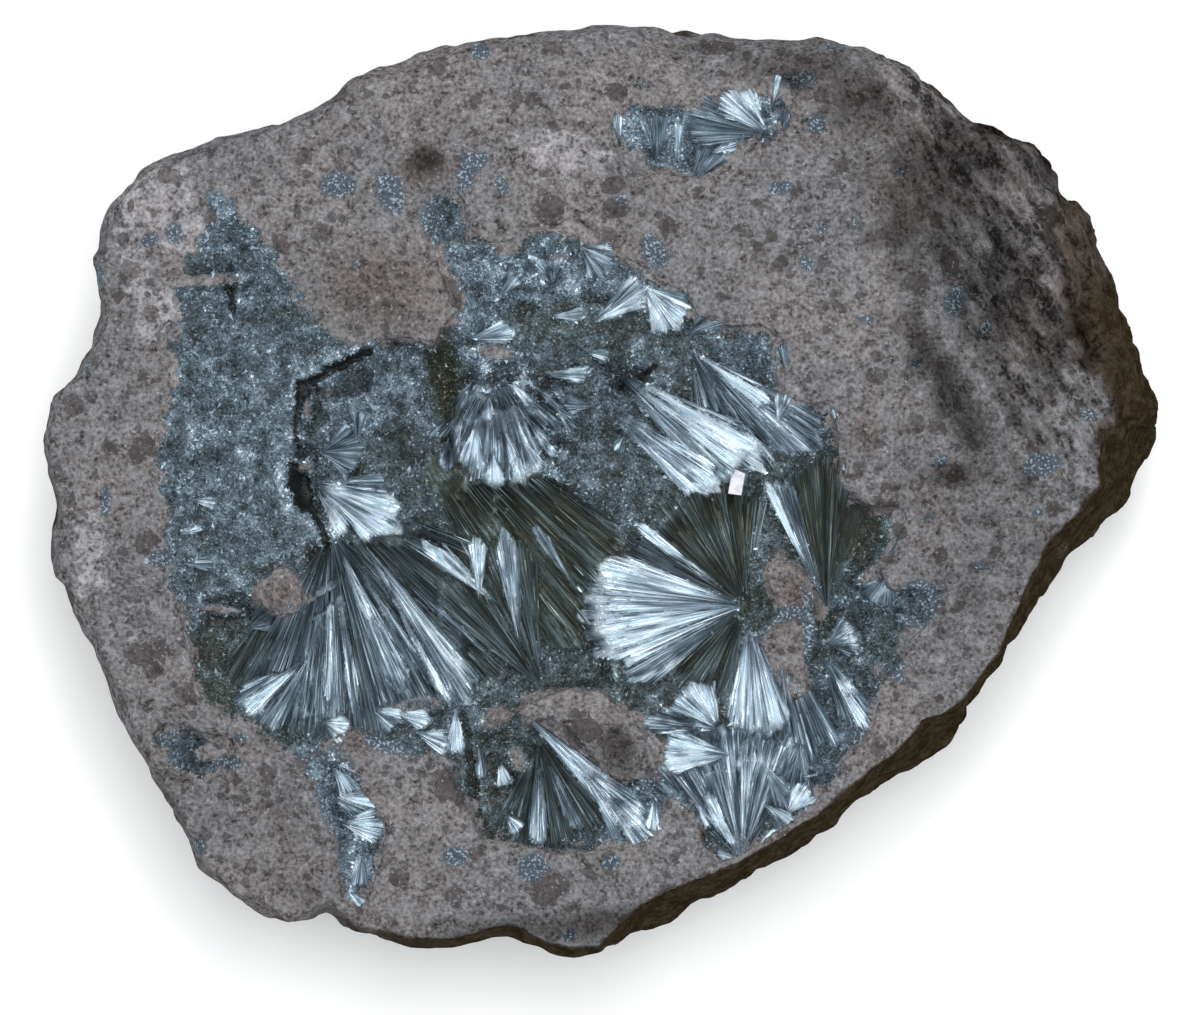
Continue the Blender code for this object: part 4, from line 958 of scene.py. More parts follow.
class Sheet:
    """A fine, closed sheet over one crust. It follows rock and crust, and dips into the rock around."""

    MARGIN = 5.0  # mm of rock looked at around the crust
    SOFTNESS = 0.42  # mm over which the sheet's height is softened
    BORDER = 1.55  # mm over which the crust's border is softened
    SLOPE = 2.6  # mm over which the sheet goes down to its dip
    CLEARANCE = 1.4  # mm that the sheet keeps from the block's edge, outside the crust
    BOTTOM = 38.3  # mm, inside the rock
    SINK = 1.4  # mm that the sheet's edge dips below the rock
    DIP = 1.4  # mm that a wide crust lies below the rock around it
    CEILING = 48.9  # mm, just under the top of the block
    EASE = 0.6  # mm below the ceiling where the sheet starts to flatten
    PLAIN_TONE = 0.38  # where no spray or granular place lies
    PLAIN_TINT = 0.20  # likewise
    CRISP = 0.35  # mm over which a bright spray's edge fades
    FAINT = 1.6  # mm over which a dark spray's edge fades
    FIRST_APEX = (-34.0, 22.0)  # where the streaks run from outside every spray
    NO_SPRAY = -1.0  # the order of points outside every spray

    def __init__(self, node, rock, sprays, step, seed):
        self.rng = np.random.default_rng(seed)
        self.step = step
        self.sprays = sprays
        crust = merged_copy(node)
        low, high = mesh_points(crust).min(axis=0) / MM, mesh_points(crust).max(axis=0) / MM
        columns = np.arange(low[0] - self.MARGIN, high[0] + self.MARGIN, step)
        rows = np.arange(low[1] - self.MARGIN, high[1] + self.MARGIN, step)
        self.x, self.y = np.meshgrid(columns, rows, indexing="ij")
        self.x += self.rng.uniform(-0.3, 0.3, self.x.shape) * step
        self.y += self.rng.uniform(-0.3, 0.3, self.y.shape) * step
        rock_top = heights(tree_of(rock), self.x, self.y)
        crust_top = heights(tree_of(crust), self.x, self.y)
        bpy.data.meshes.remove(crust)
        self.follow(rock_top, crust_top)
        self.place_sprays()
        self.shape(seed)

    def follow(self, rock_top, crust_top):
        """Where the sheet lies, how near each point is to the crust, and which points are kept."""
        step = self.step
        inside = (crust_top > rock_top).astype(float)
        inside = spread(spread(inside, 2, np.maximum), 2, np.minimum)
        top = np.maximum(rock_top, crust_top)
        top = spread(spread(top, 3, np.maximum), 3, np.minimum)
        self.z = blurred(top, self.SOFTNESS / step)
        self.near = blurred(inside, self.BORDER / step)
        self.crust = rise(self.near, 0.3, 0.4)
        self.basin = rise(blurred(inside, self.SLOPE / step), 0.55, 0.4)
        outside = (top < self.BOTTOM + 1).astype(float)
        off_block = spread(outside, int(self.CLEARANCE / step), np.maximum) > 0
        self.kept = (self.near > 0.05) & (~off_block | (self.near > 0.62)) & (top > self.BOTTOM + 1)

    def place_sprays(self):
        """Tone, tint, spray and apex of each point, and how granular it is."""
        x, y = self.x, self.y
        stir = 0.5 * lumps(x, y, 3, 2.6)
        self.tone = np.full(x.shape, self.PLAIN_TONE)
        self.tint = np.full(x.shape, self.PLAIN_TINT)
        for *oval, tone, tint in GRANULAR:
            share = np.clip((1.35 - oval_distance(x, y, oval) + stir) / 0.7, 0, 1)
            self.tone += share * (tone + 0.04 - self.tone)
            self.tint += share * (tint - self.tint)
        self.tone += 0.25 * lumps(x, y, 21, 1.3) + 0.22 * lumps(x, y, 23, 2.9)
        self.order = np.full(x.shape, self.NO_SPRAY)
        self.apex = np.full((*x.shape, 2), self.FIRST_APEX)
        self.fibrous = np.zeros(x.shape)
        hollows = hollow_depths(x, y, HOLLOWS)
        clefts = crack_depths(x, y, CLEFTS)
        self.lift = hollow_depths(x, y, MOUNDS) - hollows - self.DIP * self.basin
        for number, spray in enumerate(self.sprays):
            self.paint(number, spray)
        self.lift -= clefts
        self.cleft = rise(clefts, 0, 1.2)
        # Painted shade: hollows and clefts darken the tone.
        self.tone *= 1 - 0.55 * rise(hollows, 0, 1.6)
        self.tone *= 1 - 0.6 * self.cleft
        self.order[self.cleft > 0.3] = self.NO_SPRAY

    def paint(self, number, spray):
        """Lays one spray into the sheet."""
        close = np.hypot(self.x - spray.x, self.y - spray.y) < 1.15 * spray.reach
        x, y = self.x[close], self.y[close]
        depth, angle, radius = spray_depth(spray, number, x, y)
        inside = depth > 0
        close[close] = inside
        x, y, depth, angle, radius = (values[inside] for values in (x, y, depth, angle, radius))
        tone, reach = spray.tone, spray.reach
        bundle = lumps(angle * reach * 0.6, radius * 0.11 + number, 5, 1.0)
        line = lumps(angle * reach * 1.7, radius * 0.28 + number, 15, 1.0)
        patch = lumps(x, y, number, 1.5)
        root = np.clip(1 - (radius - spray.inner) / (0.42 * reach), 0, 1)
        contrast = min(0.1 + 1.5 * tone, 1.0)
        own = tone + contrast * (0.16 * bundle + 0.22 * line + 0.18 * patch)
        own = own - 0.40 * tone ** 3 * root ** 1.5
        share = rise(depth, 0, self.CRISP if tone > 0.5 else self.FAINT)
        self.tone[close] += share * (own - self.tone[close])
        self.tint[close] += share * (spray.tint - self.tint[close])
        self.fibrous[close] += share * (1 - self.fibrous[close])
        self.lift[close] += 0.10 + 0.28 * tone + 0.20 * line + 0.22 * bundle
        self.order[close] = number
        self.apex[close] = (spray.x, spray.y)

    def shape(self, seed):
        """Relief: lumpy where granular, ribbed where fibrous, and sunk at the border."""
        x, y = self.x, self.y
        rock = in_places(x, y, ROCK_IN_VEIN, soft=0.3)
        metal = in_places(x, y, METAL_IN_ROCK, soft=0.4)
        ragged = 0.9 * lumps(x, y, seed, 3.4) + 0.75 * lumps(x, y, seed + 30, 1.3)
        edge = 1 - np.clip(abs(self.near - 0.5) * 2, 0, 1)
        share = 1 - self.near + 0.5 * ragged * edge + 0.12 * ragged + 0.62 * rock - 0.6 * metal
        self.rock = np.clip(share, 0, 1)
        self.granular = (1 - self.fibrous) * (1 - self.cleft) * rise(self.rock, 0.56, -0.1)
        crust = self.crust * (1 - 0.8 * rock)
        lumpy = 0.5 * lumps(x, y, 5, 3.4) + 0.30 * lumps(x, y, 9, 1.2)
        self.z += crust * (self.lift + (1 - self.fibrous) * lumpy)
        self.z += self.granular * self.rng.normal(0, 0.05, x.shape)
        proud = rise(self.near, 0.22, 0.2)
        rim = 0.12 + 0.24 * lumps(x, y, 14, 1.5) + 0.16 * lumps(x, y, 16, 0.7)
        self.z += (1 - crust) * proud * rim
        self.z += 0.3 * rock
        # Painted light and shade: higher points get a lighter tone, lower points a darker tone.
        relief_for_shade = self.z - blurred(self.z, 1.0 / self.step)
        self.tone += 0.42 * np.clip(relief_for_shade, -0.6, 0.6)
        start = self.CEILING - self.EASE
        eased = self.CEILING - self.EASE * np.exp((start - self.z) / self.EASE)
        self.z = np.where(self.z > start, eased, self.z)
        self.z -= self.SINK * rise(self.near, 0.24 + 0.2 * ragged, -0.22) ** 1.5

    def cells(self):
        """The grid's cells whose corners are all kept, mended where two touch only at a corner."""
        kept = self.kept
        cells = kept[:-1, :-1] & kept[1:, :-1] & kept[1:, 1:] & kept[:-1, 1:]
        for _ in range(6):
            slash = cells[:-1, :-1] & cells[1:, 1:] & ~cells[1:, :-1] & ~cells[:-1, 1:]
            other = ~cells[:-1, :-1] & ~cells[1:, 1:] & cells[1:, :-1] & cells[:-1, 1:]
            cells[1:, :-1] |= slash
            cells[:-1, :-1] |= other
        return cells

    def mesh(self, name):
        """The closed mesh, with the attributes that its finish and its crystals read."""
        cells = self.cells()
        number = np.arange(self.kept.size).reshape(self.kept.shape)
        corners = (number[:-1, :-1], number[1:, :-1], number[1:, 1:], number[:-1, 1:])
        a, b, c, d = (corner[cells] for corner in corners)
        used = np.unique(np.concatenate([a, b, c, d]))
        place = np.full(number.size, -1)
        place[used] = np.arange(len(used))
        a, b, c, d = place[a], place[b], place[c], place[d]
        turn = self.rng.random(len(a))[:, None] < 0.5
        first = np.where(turn, np.stack([a, b, c], 1), np.stack([a, b, d], 1))
        second = np.where(turn, np.stack([a, c, d], 1), np.stack([b, c, d], 1))
        faces = np.concatenate([first, second]).tolist()
        ends = np.concatenate([np.stack(pair, 1) for pair in ((a, b), (b, c), (c, d), (d, a))])
        forward = {(start, end) for start, end in ends.tolist()}
        rim = sorted((start, end) for start, end in forward if (end, start) not in forward)
        points = np.stack([self.x.ravel()[used], self.y.ravel()[used], self.z.ravel()[used]], 1)
        feet = {start: len(points) + k for k, start in enumerate(sorted({start for start, _ in rim}))}
        low = points[sorted(feet)]
        low[:, 2] = self.BOTTOM
        faces += [(end, start, feet[start], feet[end]) for start, end in rim]
        mesh = bpy.data.meshes.new(name)
        mesh.from_pydata((np.concatenate([points, low]) * MM).tolist(), [], faces)
        self.close(mesh)
        self.store(mesh, np.concatenate([used, used[sorted(feet)]]))
        set_points(mesh, mesh_points(mesh))
        return mesh

    def store(self, mesh, own):
        """Sets the mesh's attributes. own is the place of each of its points in the grid."""
        for title in ("tone", "tint", "rock", "granular", "fibrous", "order"):
            set_attribute(mesh, title, getattr(self, title).ravel()[own])
        apex = np.concatenate([self.apex.reshape(-1, 2)[own], np.zeros((len(own), 1))], 1)
        set_attribute(mesh, "apex", apex, "FLOAT_VECTOR")
        points = mesh_points(mesh) / MM
        x, y, _ = points.T
        set_rock_places(mesh, points, 1.0)
        # Painted shade from the rock's shade places, where the sheet shows rock.
        shade = 0.62 * in_places(x, y, SHADE_PLACES, soft=0.7) + hollow_depths(x, y, SOFT_SHADE_PLACES)
        set_attribute(mesh, "shade", shade)
        set_attribute(mesh, "side", np.zeros(len(own)))
        smooth = self.granular.ravel()[own] < 0.5
        corner = np.array([polygon.vertices[0] for polygon in mesh.polygons])
        mesh.polygons.foreach_set("use_smooth", smooth[corner])

    def close(self, mesh):
        """Fills the open bottom."""
        work = bmesh.new()
        work.from_mesh(mesh)
        edges = [edge for edge in work.edges if edge.is_boundary]
        bmesh.ops.triangle_fill(work, edges=edges, use_beauty=False, normal=(0, 0, -1))
        work.to_mesh(mesh)
        work.free()


def crust_material(rock, vein):
    """Granular and fibrous pyrolusite that breaks up into rock at its border."""
    shader = Shader("pyrolusite_crust")
    mm = shader.millimetres()
    rock_colour, rock_metal, rock_height = rock_look(shader, rock, mm)
    line = fibre_look(shader, mm)
    fibrous = shader.attribute("fibrous")
    cell = shader.red(shader.cells(mm, 0.36, "Color"))
    fine = shader.noise(mm, size=0.3, detail=2.0, roughness=0.7)
    grains = 0.26 * (cell - 0.5) + 0.95 * (fine - 0.5)
    fibres = 1.25 * (line - 0.5) + 0.3 * (fine - 0.5)
    tone = shader.attribute("tone") + shader.blend(fibrous, grains, fibres)
    colour = metal_colour(shader, vein, tone, shader.attribute("tint"))
    share = (shader.attribute("rock") + 0.9 * (fine - 0.5)).between(0.43, 0.57)
    height = shader.blend(fibrous, cell + 1.3 * fine, 2.2 * line)
    height = shader.blend(share, height, 1.5 * rock_height)
    return shader.finish(
        Base_Color=shader.mix(share, colour, rock_colour),
        Metallic=shader.blend(share, METAL_SHARE, rock_metal),
        Roughness=shader.blend(share, 0.36 + 0.25 * cell, 0.88),
        Normal=shader.bump(height, strength=0.85, distance=0.22 * MM))


class NodeTree:
    """A Geometry Nodes tree, built node by node."""

    def __init__(self, name, inputs):
        self.tree = bpy.data.node_groups.new(name, "GeometryNodeTree")
        self.keys = {}
        self.tree.interface.new_socket("Geometry", in_out="INPUT", socket_type="NodeSocketGeometry")
        for title, kind in inputs:
            socket = self.tree.interface.new_socket(title, in_out="INPUT", socket_type=kind)
            self.keys[title] = socket.identifier
        self.tree.interface.new_socket("Geometry", in_out="OUTPUT", socket_type="NodeSocketGeometry")
        self.input = self.tree.nodes.new("NodeGroupInput")
        self.output = self.tree.nodes.new("NodeGroupOutput")

    def given(self, title):
        """One of the tree's inputs."""
        return self.input.outputs[title]

    def node(self, kind, settings=None, inputs=None, output=0):
        """Adds a node as Shader does. Gives one output, or the node where output is None."""
        made = self.tree.nodes.new(kind)
        for name, value in (settings or {}).items():
            setattr(made, name, value)
        for name, value in (inputs or {}).items():
            socket = made.inputs[name]
            if isinstance(value, bpy.types.NodeSocket):
                self.tree.links.new(value, socket)
            else:
                socket.default_value = value
        return made.outputs[output] if output is not None else made

    def math(self, operation, *values):
        return self.node("ShaderNodeMath", {"operation": operation}, dict(enumerate(values)))

    def named(self, name, kind="FLOAT"):
        """What an attribute holds."""
        return self.node("GeometryNodeInputNamedAttribute", {"data_type": kind}, {"Name": name})

    def split(self, vector):
        return self.node("ShaderNodeSeparateXYZ", None, {0: vector}, None).outputs

    def joined(self, x, y, z):
        return self.node("ShaderNodeCombineXYZ", None, {"X": x, "Y": y, "Z": z})

    def dice(self, low, high, seed):
        """A random number for each element, which differs from seed to seed."""
        seed = self.math("ADD", self.given("Seed"), seed)
        inputs = {2: low, 3: high, "Seed": seed}
        return self.node("FunctionNodeRandomValue", {"data_type": "FLOAT"}, inputs, 1)

    def store(self, geometry, name, value, kind="FLOAT"):
        return self.node("GeometryNodeStoreNamedAttribute", {"data_type": kind, "domain": "POINT"},
                         {"Geometry": geometry, "Name": name, "Value": value})

    def object(self, title):
        return self.node("GeometryNodeObjectInfo", None, {"Object": self.given(title)}, "Geometry")

    def below(self, place, name):
        """What a ray straight down from a place finds on the sheet, with a named value of it."""
        spot = self.split(place)
        return self.node("GeometryNodeRaycast", {"data_type": "FLOAT", "mapping": "NEAREST"}, {
            "Target Geometry": self.object("Sheet"), "Attribute": self.named(name),
            "Source Position": self.joined(spot["X"], spot["Y"], ABOVE * MM),
            "Ray Direction": (0, 0, -1), "Ray Length": 1.0}, None).outputs

    def finish(self, geometry):
        """Gives the geometry its material and makes it the tree's result."""
        painted = self.node("GeometryNodeSetMaterial", None, {
            "Geometry": geometry, "Material": self.given("Material")})
        self.tree.links.new(painted, self.output.inputs[0])

    def grow(self, piece, values):
        """The mesh that the tree makes on a piece, with its inputs set."""
        modifier = piece.modifiers.new(self.tree.name, "NODES")
        modifier.node_group = self.tree
        for title, value in values.items():
            modifier[self.keys[title]] = value
        mesh = evaluated(piece)
        piece.modifiers.remove(modifier)
        return mesh


def blade_tree():
    """Blades that spread from each point of a mesh and lie along a sheet, where the sheet is theirs."""
    tree = NodeTree("Spray Blades", [
        ("Sheet", "NodeSocketObject"), ("Blade", "NodeSocketObject"), ("Width", "NodeSocketFloat"),
        ("Height", "NodeSocketFloat"), ("Seed", "NodeSocketInt"), ("Material", "NodeSocketMaterial"),
    ])
    blades = standing_blades(tree, blade_roots(tree))
    position = tree.node("GeometryNodeInputPosition")
    place = tree.split(position)
    found = tree.below(position, "order")
    ground = tree.math("MAXIMUM", tree.split(found["Hit Position"])["Z"], Sheet.BOTTOM * MM)
    astray = tree.math("ABSOLUTE", tree.math("SUBTRACT", found["Attribute"], tree.named("order")))
    lift = tree.math("MULTIPLY_ADD", tree.named("dice"), HIGHEST_LIFT, place["Z"])
    lift = tree.math("MULTIPLY_ADD", tree.math("MINIMUM", astray, 1.0), -ASTRAY_SINK, lift)
    for name in ("tone", "tint"):
        blades = tree.store(blades, name, tree.below(position, name)["Attribute"])
    laid = tree.joined(place["X"], place["Y"], tree.math("ADD", ground, lift))
    tree.finish(tree.node("GeometryNodeSetPosition", None, {"Geometry": blades, "Position": laid}))
    return tree


def blade_roots(tree):
    """A point for each blade of the sprays, at the spray's apex, with its angle and its dice."""
    points = tree.node("GeometryNodeMeshToPoints", None, {"Mesh": tree.given("Geometry")})
    copies = tree.node("GeometryNodeDuplicateElements", {"domain": "POINT"}, {
        "Geometry": points, "Amount": tree.named("count", "INT")}, None)
    nudged = tree.math("ADD", copies.outputs["Duplicate Index"], tree.dice(0.0, 1.0, 1))
    share = tree.math("DIVIDE", nudged, tree.named("count", "INT"))
    opening = tree.math("SUBTRACT", tree.named("to"), tree.named("from"))
    angle = tree.math("MULTIPLY_ADD", share, opening, tree.named("from"))
    points = tree.store(copies.outputs["Geometry"], "angle", angle)
    return tree.store(points, "dice", tree.dice(0.0, 1.0, 2))


def standing_blades(tree, points):
    """A flat blade on each point, moved out along its angle, where its tip is over the sheet."""
    angle = tree.named("angle")
    span = tree.math("SUBTRACT", tree.named("reach"), tree.named("inner"))
    start = tree.math("POWER", tree.dice(0.0, 0.8, 3), 2.0)
    near = tree.math("MULTIPLY_ADD", span, start, tree.named("inner"))
    far = tree.math("MULTIPLY", tree.named("reach"), tree.dice(0.90, 1.01, 4))
    length = tree.math("MAXIMUM", tree.math("SUBTRACT", far, near), SHORTEST_BLADE)
    way = tree.joined(tree.math("COSINE", angle), tree.math("SINE", angle), 0.0)
    offset = tree.node("ShaderNodeVectorMath", {"operation": "SCALE"}, {"Vector": way, "Scale": near})
    points = tree.node("GeometryNodeSetPosition", None, {"Geometry": points, "Offset": offset})
    swing = tree.math("ADD", angle, tree.dice(-0.02, 0.02, 8))
    turn = tree.joined(tree.dice(-0.5, 0.5, 5), 0.0, swing)
    tip = tree.node("ShaderNodeVectorMath", {"operation": "MULTIPLY_ADD"}, {
        0: tree.joined(tree.math("COSINE", swing), tree.math("SINE", swing), 0.0),
        1: tree.joined(length, length, 0.0), 2: tree.node("GeometryNodeInputPosition")})
    slender = tree.math("POWER", tree.dice(0.55, 1.1, 6), 2.0)
    width = tree.math("MULTIPLY", tree.given("Width"), slender)
    height = tree.math("MULTIPLY", tree.given("Height"), tree.dice(0.6, 1.5, 7))
    blades = tree.node("GeometryNodeInstanceOnPoints", None, {
        "Points": points, "Selection": tree.below(tip, "order")["Is Hit"],
        "Instance": tree.object("Blade"), "Rotation": turn,
        "Scale": tree.joined(length, width, height)})
    return tree.node("GeometryNodeRealizeInstances", None, {"Geometry": blades})


def unit_blade():
    """A blade one unit long: ridged, narrow at its root and chisel-ended."""
    points = []
    for along, width in (
        (0.0, 0.3), (0.18, 0.5), (0.38, 0.7), (0.58, 0.85), (0.78, 0.95), (0.94, 1.0), (1.0, 0.4),
    ):
        points += [
            (along, -0.5 * width, -0.9), (along, 0.15 * width, width), (along, 0.5 * width, -0.9)]
    last = len(points) - 3
    faces = [(0, 1, 2)]
    for start in range(0, last, 3):
        for side in range(3):
            other = (side + 1) % 3
            faces.append((start + other, start + side, start + 3 + side, start + 3 + other))
    faces.append((last + 2, last + 1, last))
    return unit_piece("unit_blade", points, faces)


def unit_piece(name, points, faces):
    """A piece one unit long, which a tree copies and then sizes."""
    mesh = bpy.data.meshes.new(name)
    mesh.from_pydata(points, [], faces)
    return link(name, mesh)


def spray_seeds(name, sprays, first, vein):
    """A point at each spray's apex, with what its blades read. first is the first spray's order."""
    start, end, inner, reach = (
        np.array([getattr(spray, field) for spray in sprays], float)
        for field in ("start", "end", "inner", "reach"))
    arc = np.radians(end - start) * (inner + 0.75 * (reach - inner)) * MM
    counts = np.maximum(FEWEST_BLADES, arc / vein.fibre * vein.layers).astype(int)
    apex = np.array([(spray.x, spray.y, 0.0) for spray in sprays])
    mesh = bpy.data.meshes.new(name)
    mesh.from_pydata((apex * MM).tolist(), [], [])
    set_attribute(mesh, "count", counts, "INT")
    set_attribute(mesh, "apex", apex, "FLOAT_VECTOR")
    for title, values in (
        ("from", np.radians(start)), ("to", np.radians(end)), ("inner", inner * MM),
        ("reach", reach * MM), ("order", np.arange(len(sprays)) + float(first)),
    ):
        set_attribute(mesh, title, values)
    return link(name, mesh)


def grown_blades(name, sprays, first, vein, sheet, material, seed):
    """One piece with the blades of some sprays, laid on a sheet. first is the first spray's order."""
    seeds = spray_seeds(name + "_seeds", sprays, first, vein)
    blade = unit_blade()
    mesh = blade_tree().grow(seeds, {
        "Sheet": sheet, "Blade": blade, "Width": vein.blade_width, "Height": vein.blade_height,
        "Seed": seed, "Material": material})
    bpy.data.objects.remove(seeds)
    bpy.data.objects.remove(blade)
    return flat_piece(name, mesh)


def flat_piece(name, mesh):
    """A piece with flat faces, kept inside the CAD's box."""
    mesh.name = name
    set_points(mesh, mesh_points(mesh))
    mesh.shade_flat()
    return link(name, mesh)


def blade_material(vein):
    """Blades that differ in tone, with fine streaks along them."""
    shader = Shader("pyrolusite_blades")
    line = fibre_look(shader, shader.millimetres())
    dice = shader.attribute("dice")
    # The tone read from the sheet is partly painted reflection.
    tone = shader.attribute("tone") + 0.36 * (dice - 0.5) + 0.7 * (line - 0.5)
    colour = metal_colour(shader, vein, tone, shader.attribute("tint"))
    return shader.finish(
        Base_Color=colour, Roughness=0.34 + 0.2 * line, Metallic=METAL_SHARE,
        Normal=shader.bump(line, strength=0.6, distance=0.1 * MM))


def grain_tree():
    """Small crystals that stand on a sheet where it is granular."""
    tree = NodeTree("Crust Grains", [
        ("Grain", "NodeSocketObject"), ("Density", "NodeSocketFloat"), ("Size", "NodeSocketFloat"),
        ("Seed", "NodeSocketInt"), ("Material", "NodeSocketMaterial"),
    ])
    density = tree.math("MULTIPLY", tree.given("Density"), tree.named("granular"))
    points = tree.node("GeometryNodeDistributePointsOnFaces", {"distribute_method": "RANDOM"}, {
        "Mesh": tree.given("Geometry"), "Density": density, "Seed": tree.given("Seed")})
    points = tree.store(points, "dice", tree.dice(0.0, 1.0, 2))
    size = tree.math("MULTIPLY", tree.given("Size"), tree.math("POWER", tree.dice(0.6, 1.25, 6), 2.0))
    long = tree.math("MULTIPLY_ADD", tree.math("POWER", tree.dice(0.0, 1.0, 7), 4.0), 1.6, 1.1)
    turn = tree.joined(tree.dice(-1.6, 1.6, 3), tree.dice(-0.6, 0.6, 4), tree.dice(-3.2, 3.2, 5))
    grains = tree.node("GeometryNodeInstanceOnPoints", None, {
        "Points": points, "Instance": tree.object("Grain"),
        "Rotation": turn, "Scale": tree.joined(tree.math("MULTIPLY", size, long), size, size)})
    tree.finish(tree.node("GeometryNodeRealizeInstances", None, {"Geometry": grains}))
    return tree


def unit_grain():
    """A slender crystal one unit long, with two points and four sides."""
    points = [
        (-0.5, 0, 0), (-0.1, -0.5, -0.1), (0, 0.1, 0.45),
        (0.1, 0.5, -0.1), (0, -0.1, -0.4), (0.5, 0, 0),
    ]
    faces = [(0, 2, 1), (0, 3, 2), (0, 4, 3), (0, 1, 4), (5, 1, 2), (5, 2, 3), (5, 3, 4), (5, 4, 1)]
    return unit_piece("unit_grain", points, faces)


def grain_material(vein):
    """Small crystals that differ in tone, with a painted highlight on a few of them."""
    shader = Shader("pyrolusite_grains")
    dice = shader.attribute("dice")
    # The tone read from the sheet is partly painted reflection; the brightest few grains get a painted
    # highlight.
    tone = shader.attribute("tone") + 0.34 * (dice - 0.5) + 0.16 * (dice > 0.95)
    colour = metal_colour(shader, vein, tone, shader.attribute("tint"))
    return shader.finish(Base_Color=colour, Roughness=0.34 + 0.25 * dice, Metallic=METAL_SHARE)


def grown_grains(name, sheet, vein, material, seed):
    """One piece with the small crystals of a sheet."""
    grain = unit_grain()
    mesh = grain_tree().grow(sheet, {
        "Grain": grain, "Density": vein.grains_per_mm2 / MM ** 2, "Size": vein.grain_size,
        "Seed": seed, "Material": material})
    bpy.data.objects.remove(grain)
    return flat_piece(name, mesh)


def carry(piece):
    """Makes a pyrolusite piece part of the specimen."""
    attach(piece, BODY)


class SPECIMEN_OT_crusts(bpy.types.Operator):
    """Lay the three crusts of granular pyrolusite into the rock, with their small crystals"""
    bl_idname = "specimen.crusts"
    bl_label = "Crusts"

    def execute(self, context):
        scene = context.scene
        vein = scene.specimen_vein
        rock = bpy.data.objects["matrix_rock"].data
        material = crust_material(scene.specimen_rock, vein)
        grains = grain_material(vein)
        for seed, (node, sprays) in enumerate((
            ("main_vein", VEIN_SPRAYS), ("upper_spray", UPPER_SPRAYS), ("left_patch", []),
        )):
            sheet = Sheet(node, rock, sprays, vein.mesh_size / MM, seed + 3)
            mesh = sheet.mesh(node + "_crust")
            mesh.materials.append(material)
            crust = link(node + "_crust", mesh)
            carry(crust)
            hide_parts(node)
            carry(grown_grains(node + "_grains", crust, vein, grains, seed))
        return {"FINISHED"}


class SPECIMEN_OT_flake(bpy.types.Operator):
    """Set the small pale cleavage flake on the bright blades"""
    bl_idname = "specimen.flake"
    bl_label = "Pale Flake"

    LENGTH = 3.0  # mm, as the sizes and the place below
    WIDTH = 1.7
    THICKNESS = 0.3
    BEVEL = 0.06
    PLACE = (16.9, 1.1)
    HEIGHT = 0.8  # above the crust
    TURN = 74  # degrees

    def execute(self, context):
        vein = context.scene.specimen_vein
        crust = bpy.data.objects["main_vein_crust"].data
        middle_x, middle_y = self.PLACE
        ground = heights(tree_of(crust), np.array([middle_x]), np.array([middle_y]))[0]
        work = bmesh.new()
        bmesh.ops.create_cube(work, size=1.0)
        for vertex in work.verts:
            x, y, z = vertex.co
            vertex.co = (
                x * (self.LENGTH + 0.5 * y), (y + 0.18 * x) * self.WIDTH,
                (z + 0.9 * x) * self.THICKNESS)
        bmesh.ops.bevel(work, geom=work.edges[:], offset=self.BEVEL, segments=1, affect="EDGES")
        turn = math.radians(self.TURN)
        for vertex in work.verts:
            x, y, z = vertex.co
            vertex.co = (
                middle_x + x * math.cos(turn) - y * math.sin(turn),
                middle_y + x * math.sin(turn) + y * math.cos(turn), float(ground) + self.HEIGHT + z)
            vertex.co *= MM
        mesh = bpy.data.meshes.new("pale_flake")
        work.to_mesh(mesh)
        work.free()
        mesh.materials.append(flake_material(vein))
        set_points(mesh, mesh_points(mesh))
        carry(link("pale_flake", mesh))
        return {"FINISHED"}


def flake_material(vein):
    """Pale, with duller patches."""
    shader = Shader("pale_flake")
    veil = shader.noise(shader.millimetres(), size=0.8).between(0.4, 0.65)
    colour = shader.mix(veil, tuple(vein.flake), tuple(vein.flake_veil))
    return shader.finish(Base_Color=colour, Roughness=0.35)


class SPECIMEN_OT_sprays(bpy.types.Operator):
    """Lay the sprays of blades on the crusts"""
    bl_idname = "specimen.sprays"
    bl_label = "Sprays"

    def execute(self, context):
        vein = context.scene.specimen_vein
        material = blade_material(vein)
        crust = bpy.data.objects["main_vein_crust"]
        order = 0
        for name, sprays in VEIN_PIECES.items():
            carry(grown_blades(name, sprays, order, vein, crust, material, order + 1))
            order += len(sprays)
        crust = bpy.data.objects["upper_spray_crust"]
        carry(grown_blades("upper_sprays", UPPER_SPRAYS, 0, vein, crust, material, order + 1))
        return {"FINISHED"}


# ---------------------------------------------------------------- stage

def area_light(name, place, size, power, colour):
    """A round light that faces the block and isn't seen itself."""
    data = bpy.data.lights.new(name, "AREA")
    data.shape = "DISK"
    data.size = size
    data.energy = power
    data.color = colour
    lamp = bpy.data.objects.new(name, data)
    lamp.location = place
    lamp.rotation_euler = (-Vector(place)).to_track_quat("-Z", "Y").to_euler()
    lamp.visible_camera = False
    bpy.context.scene.collection.objects.link(lamp)


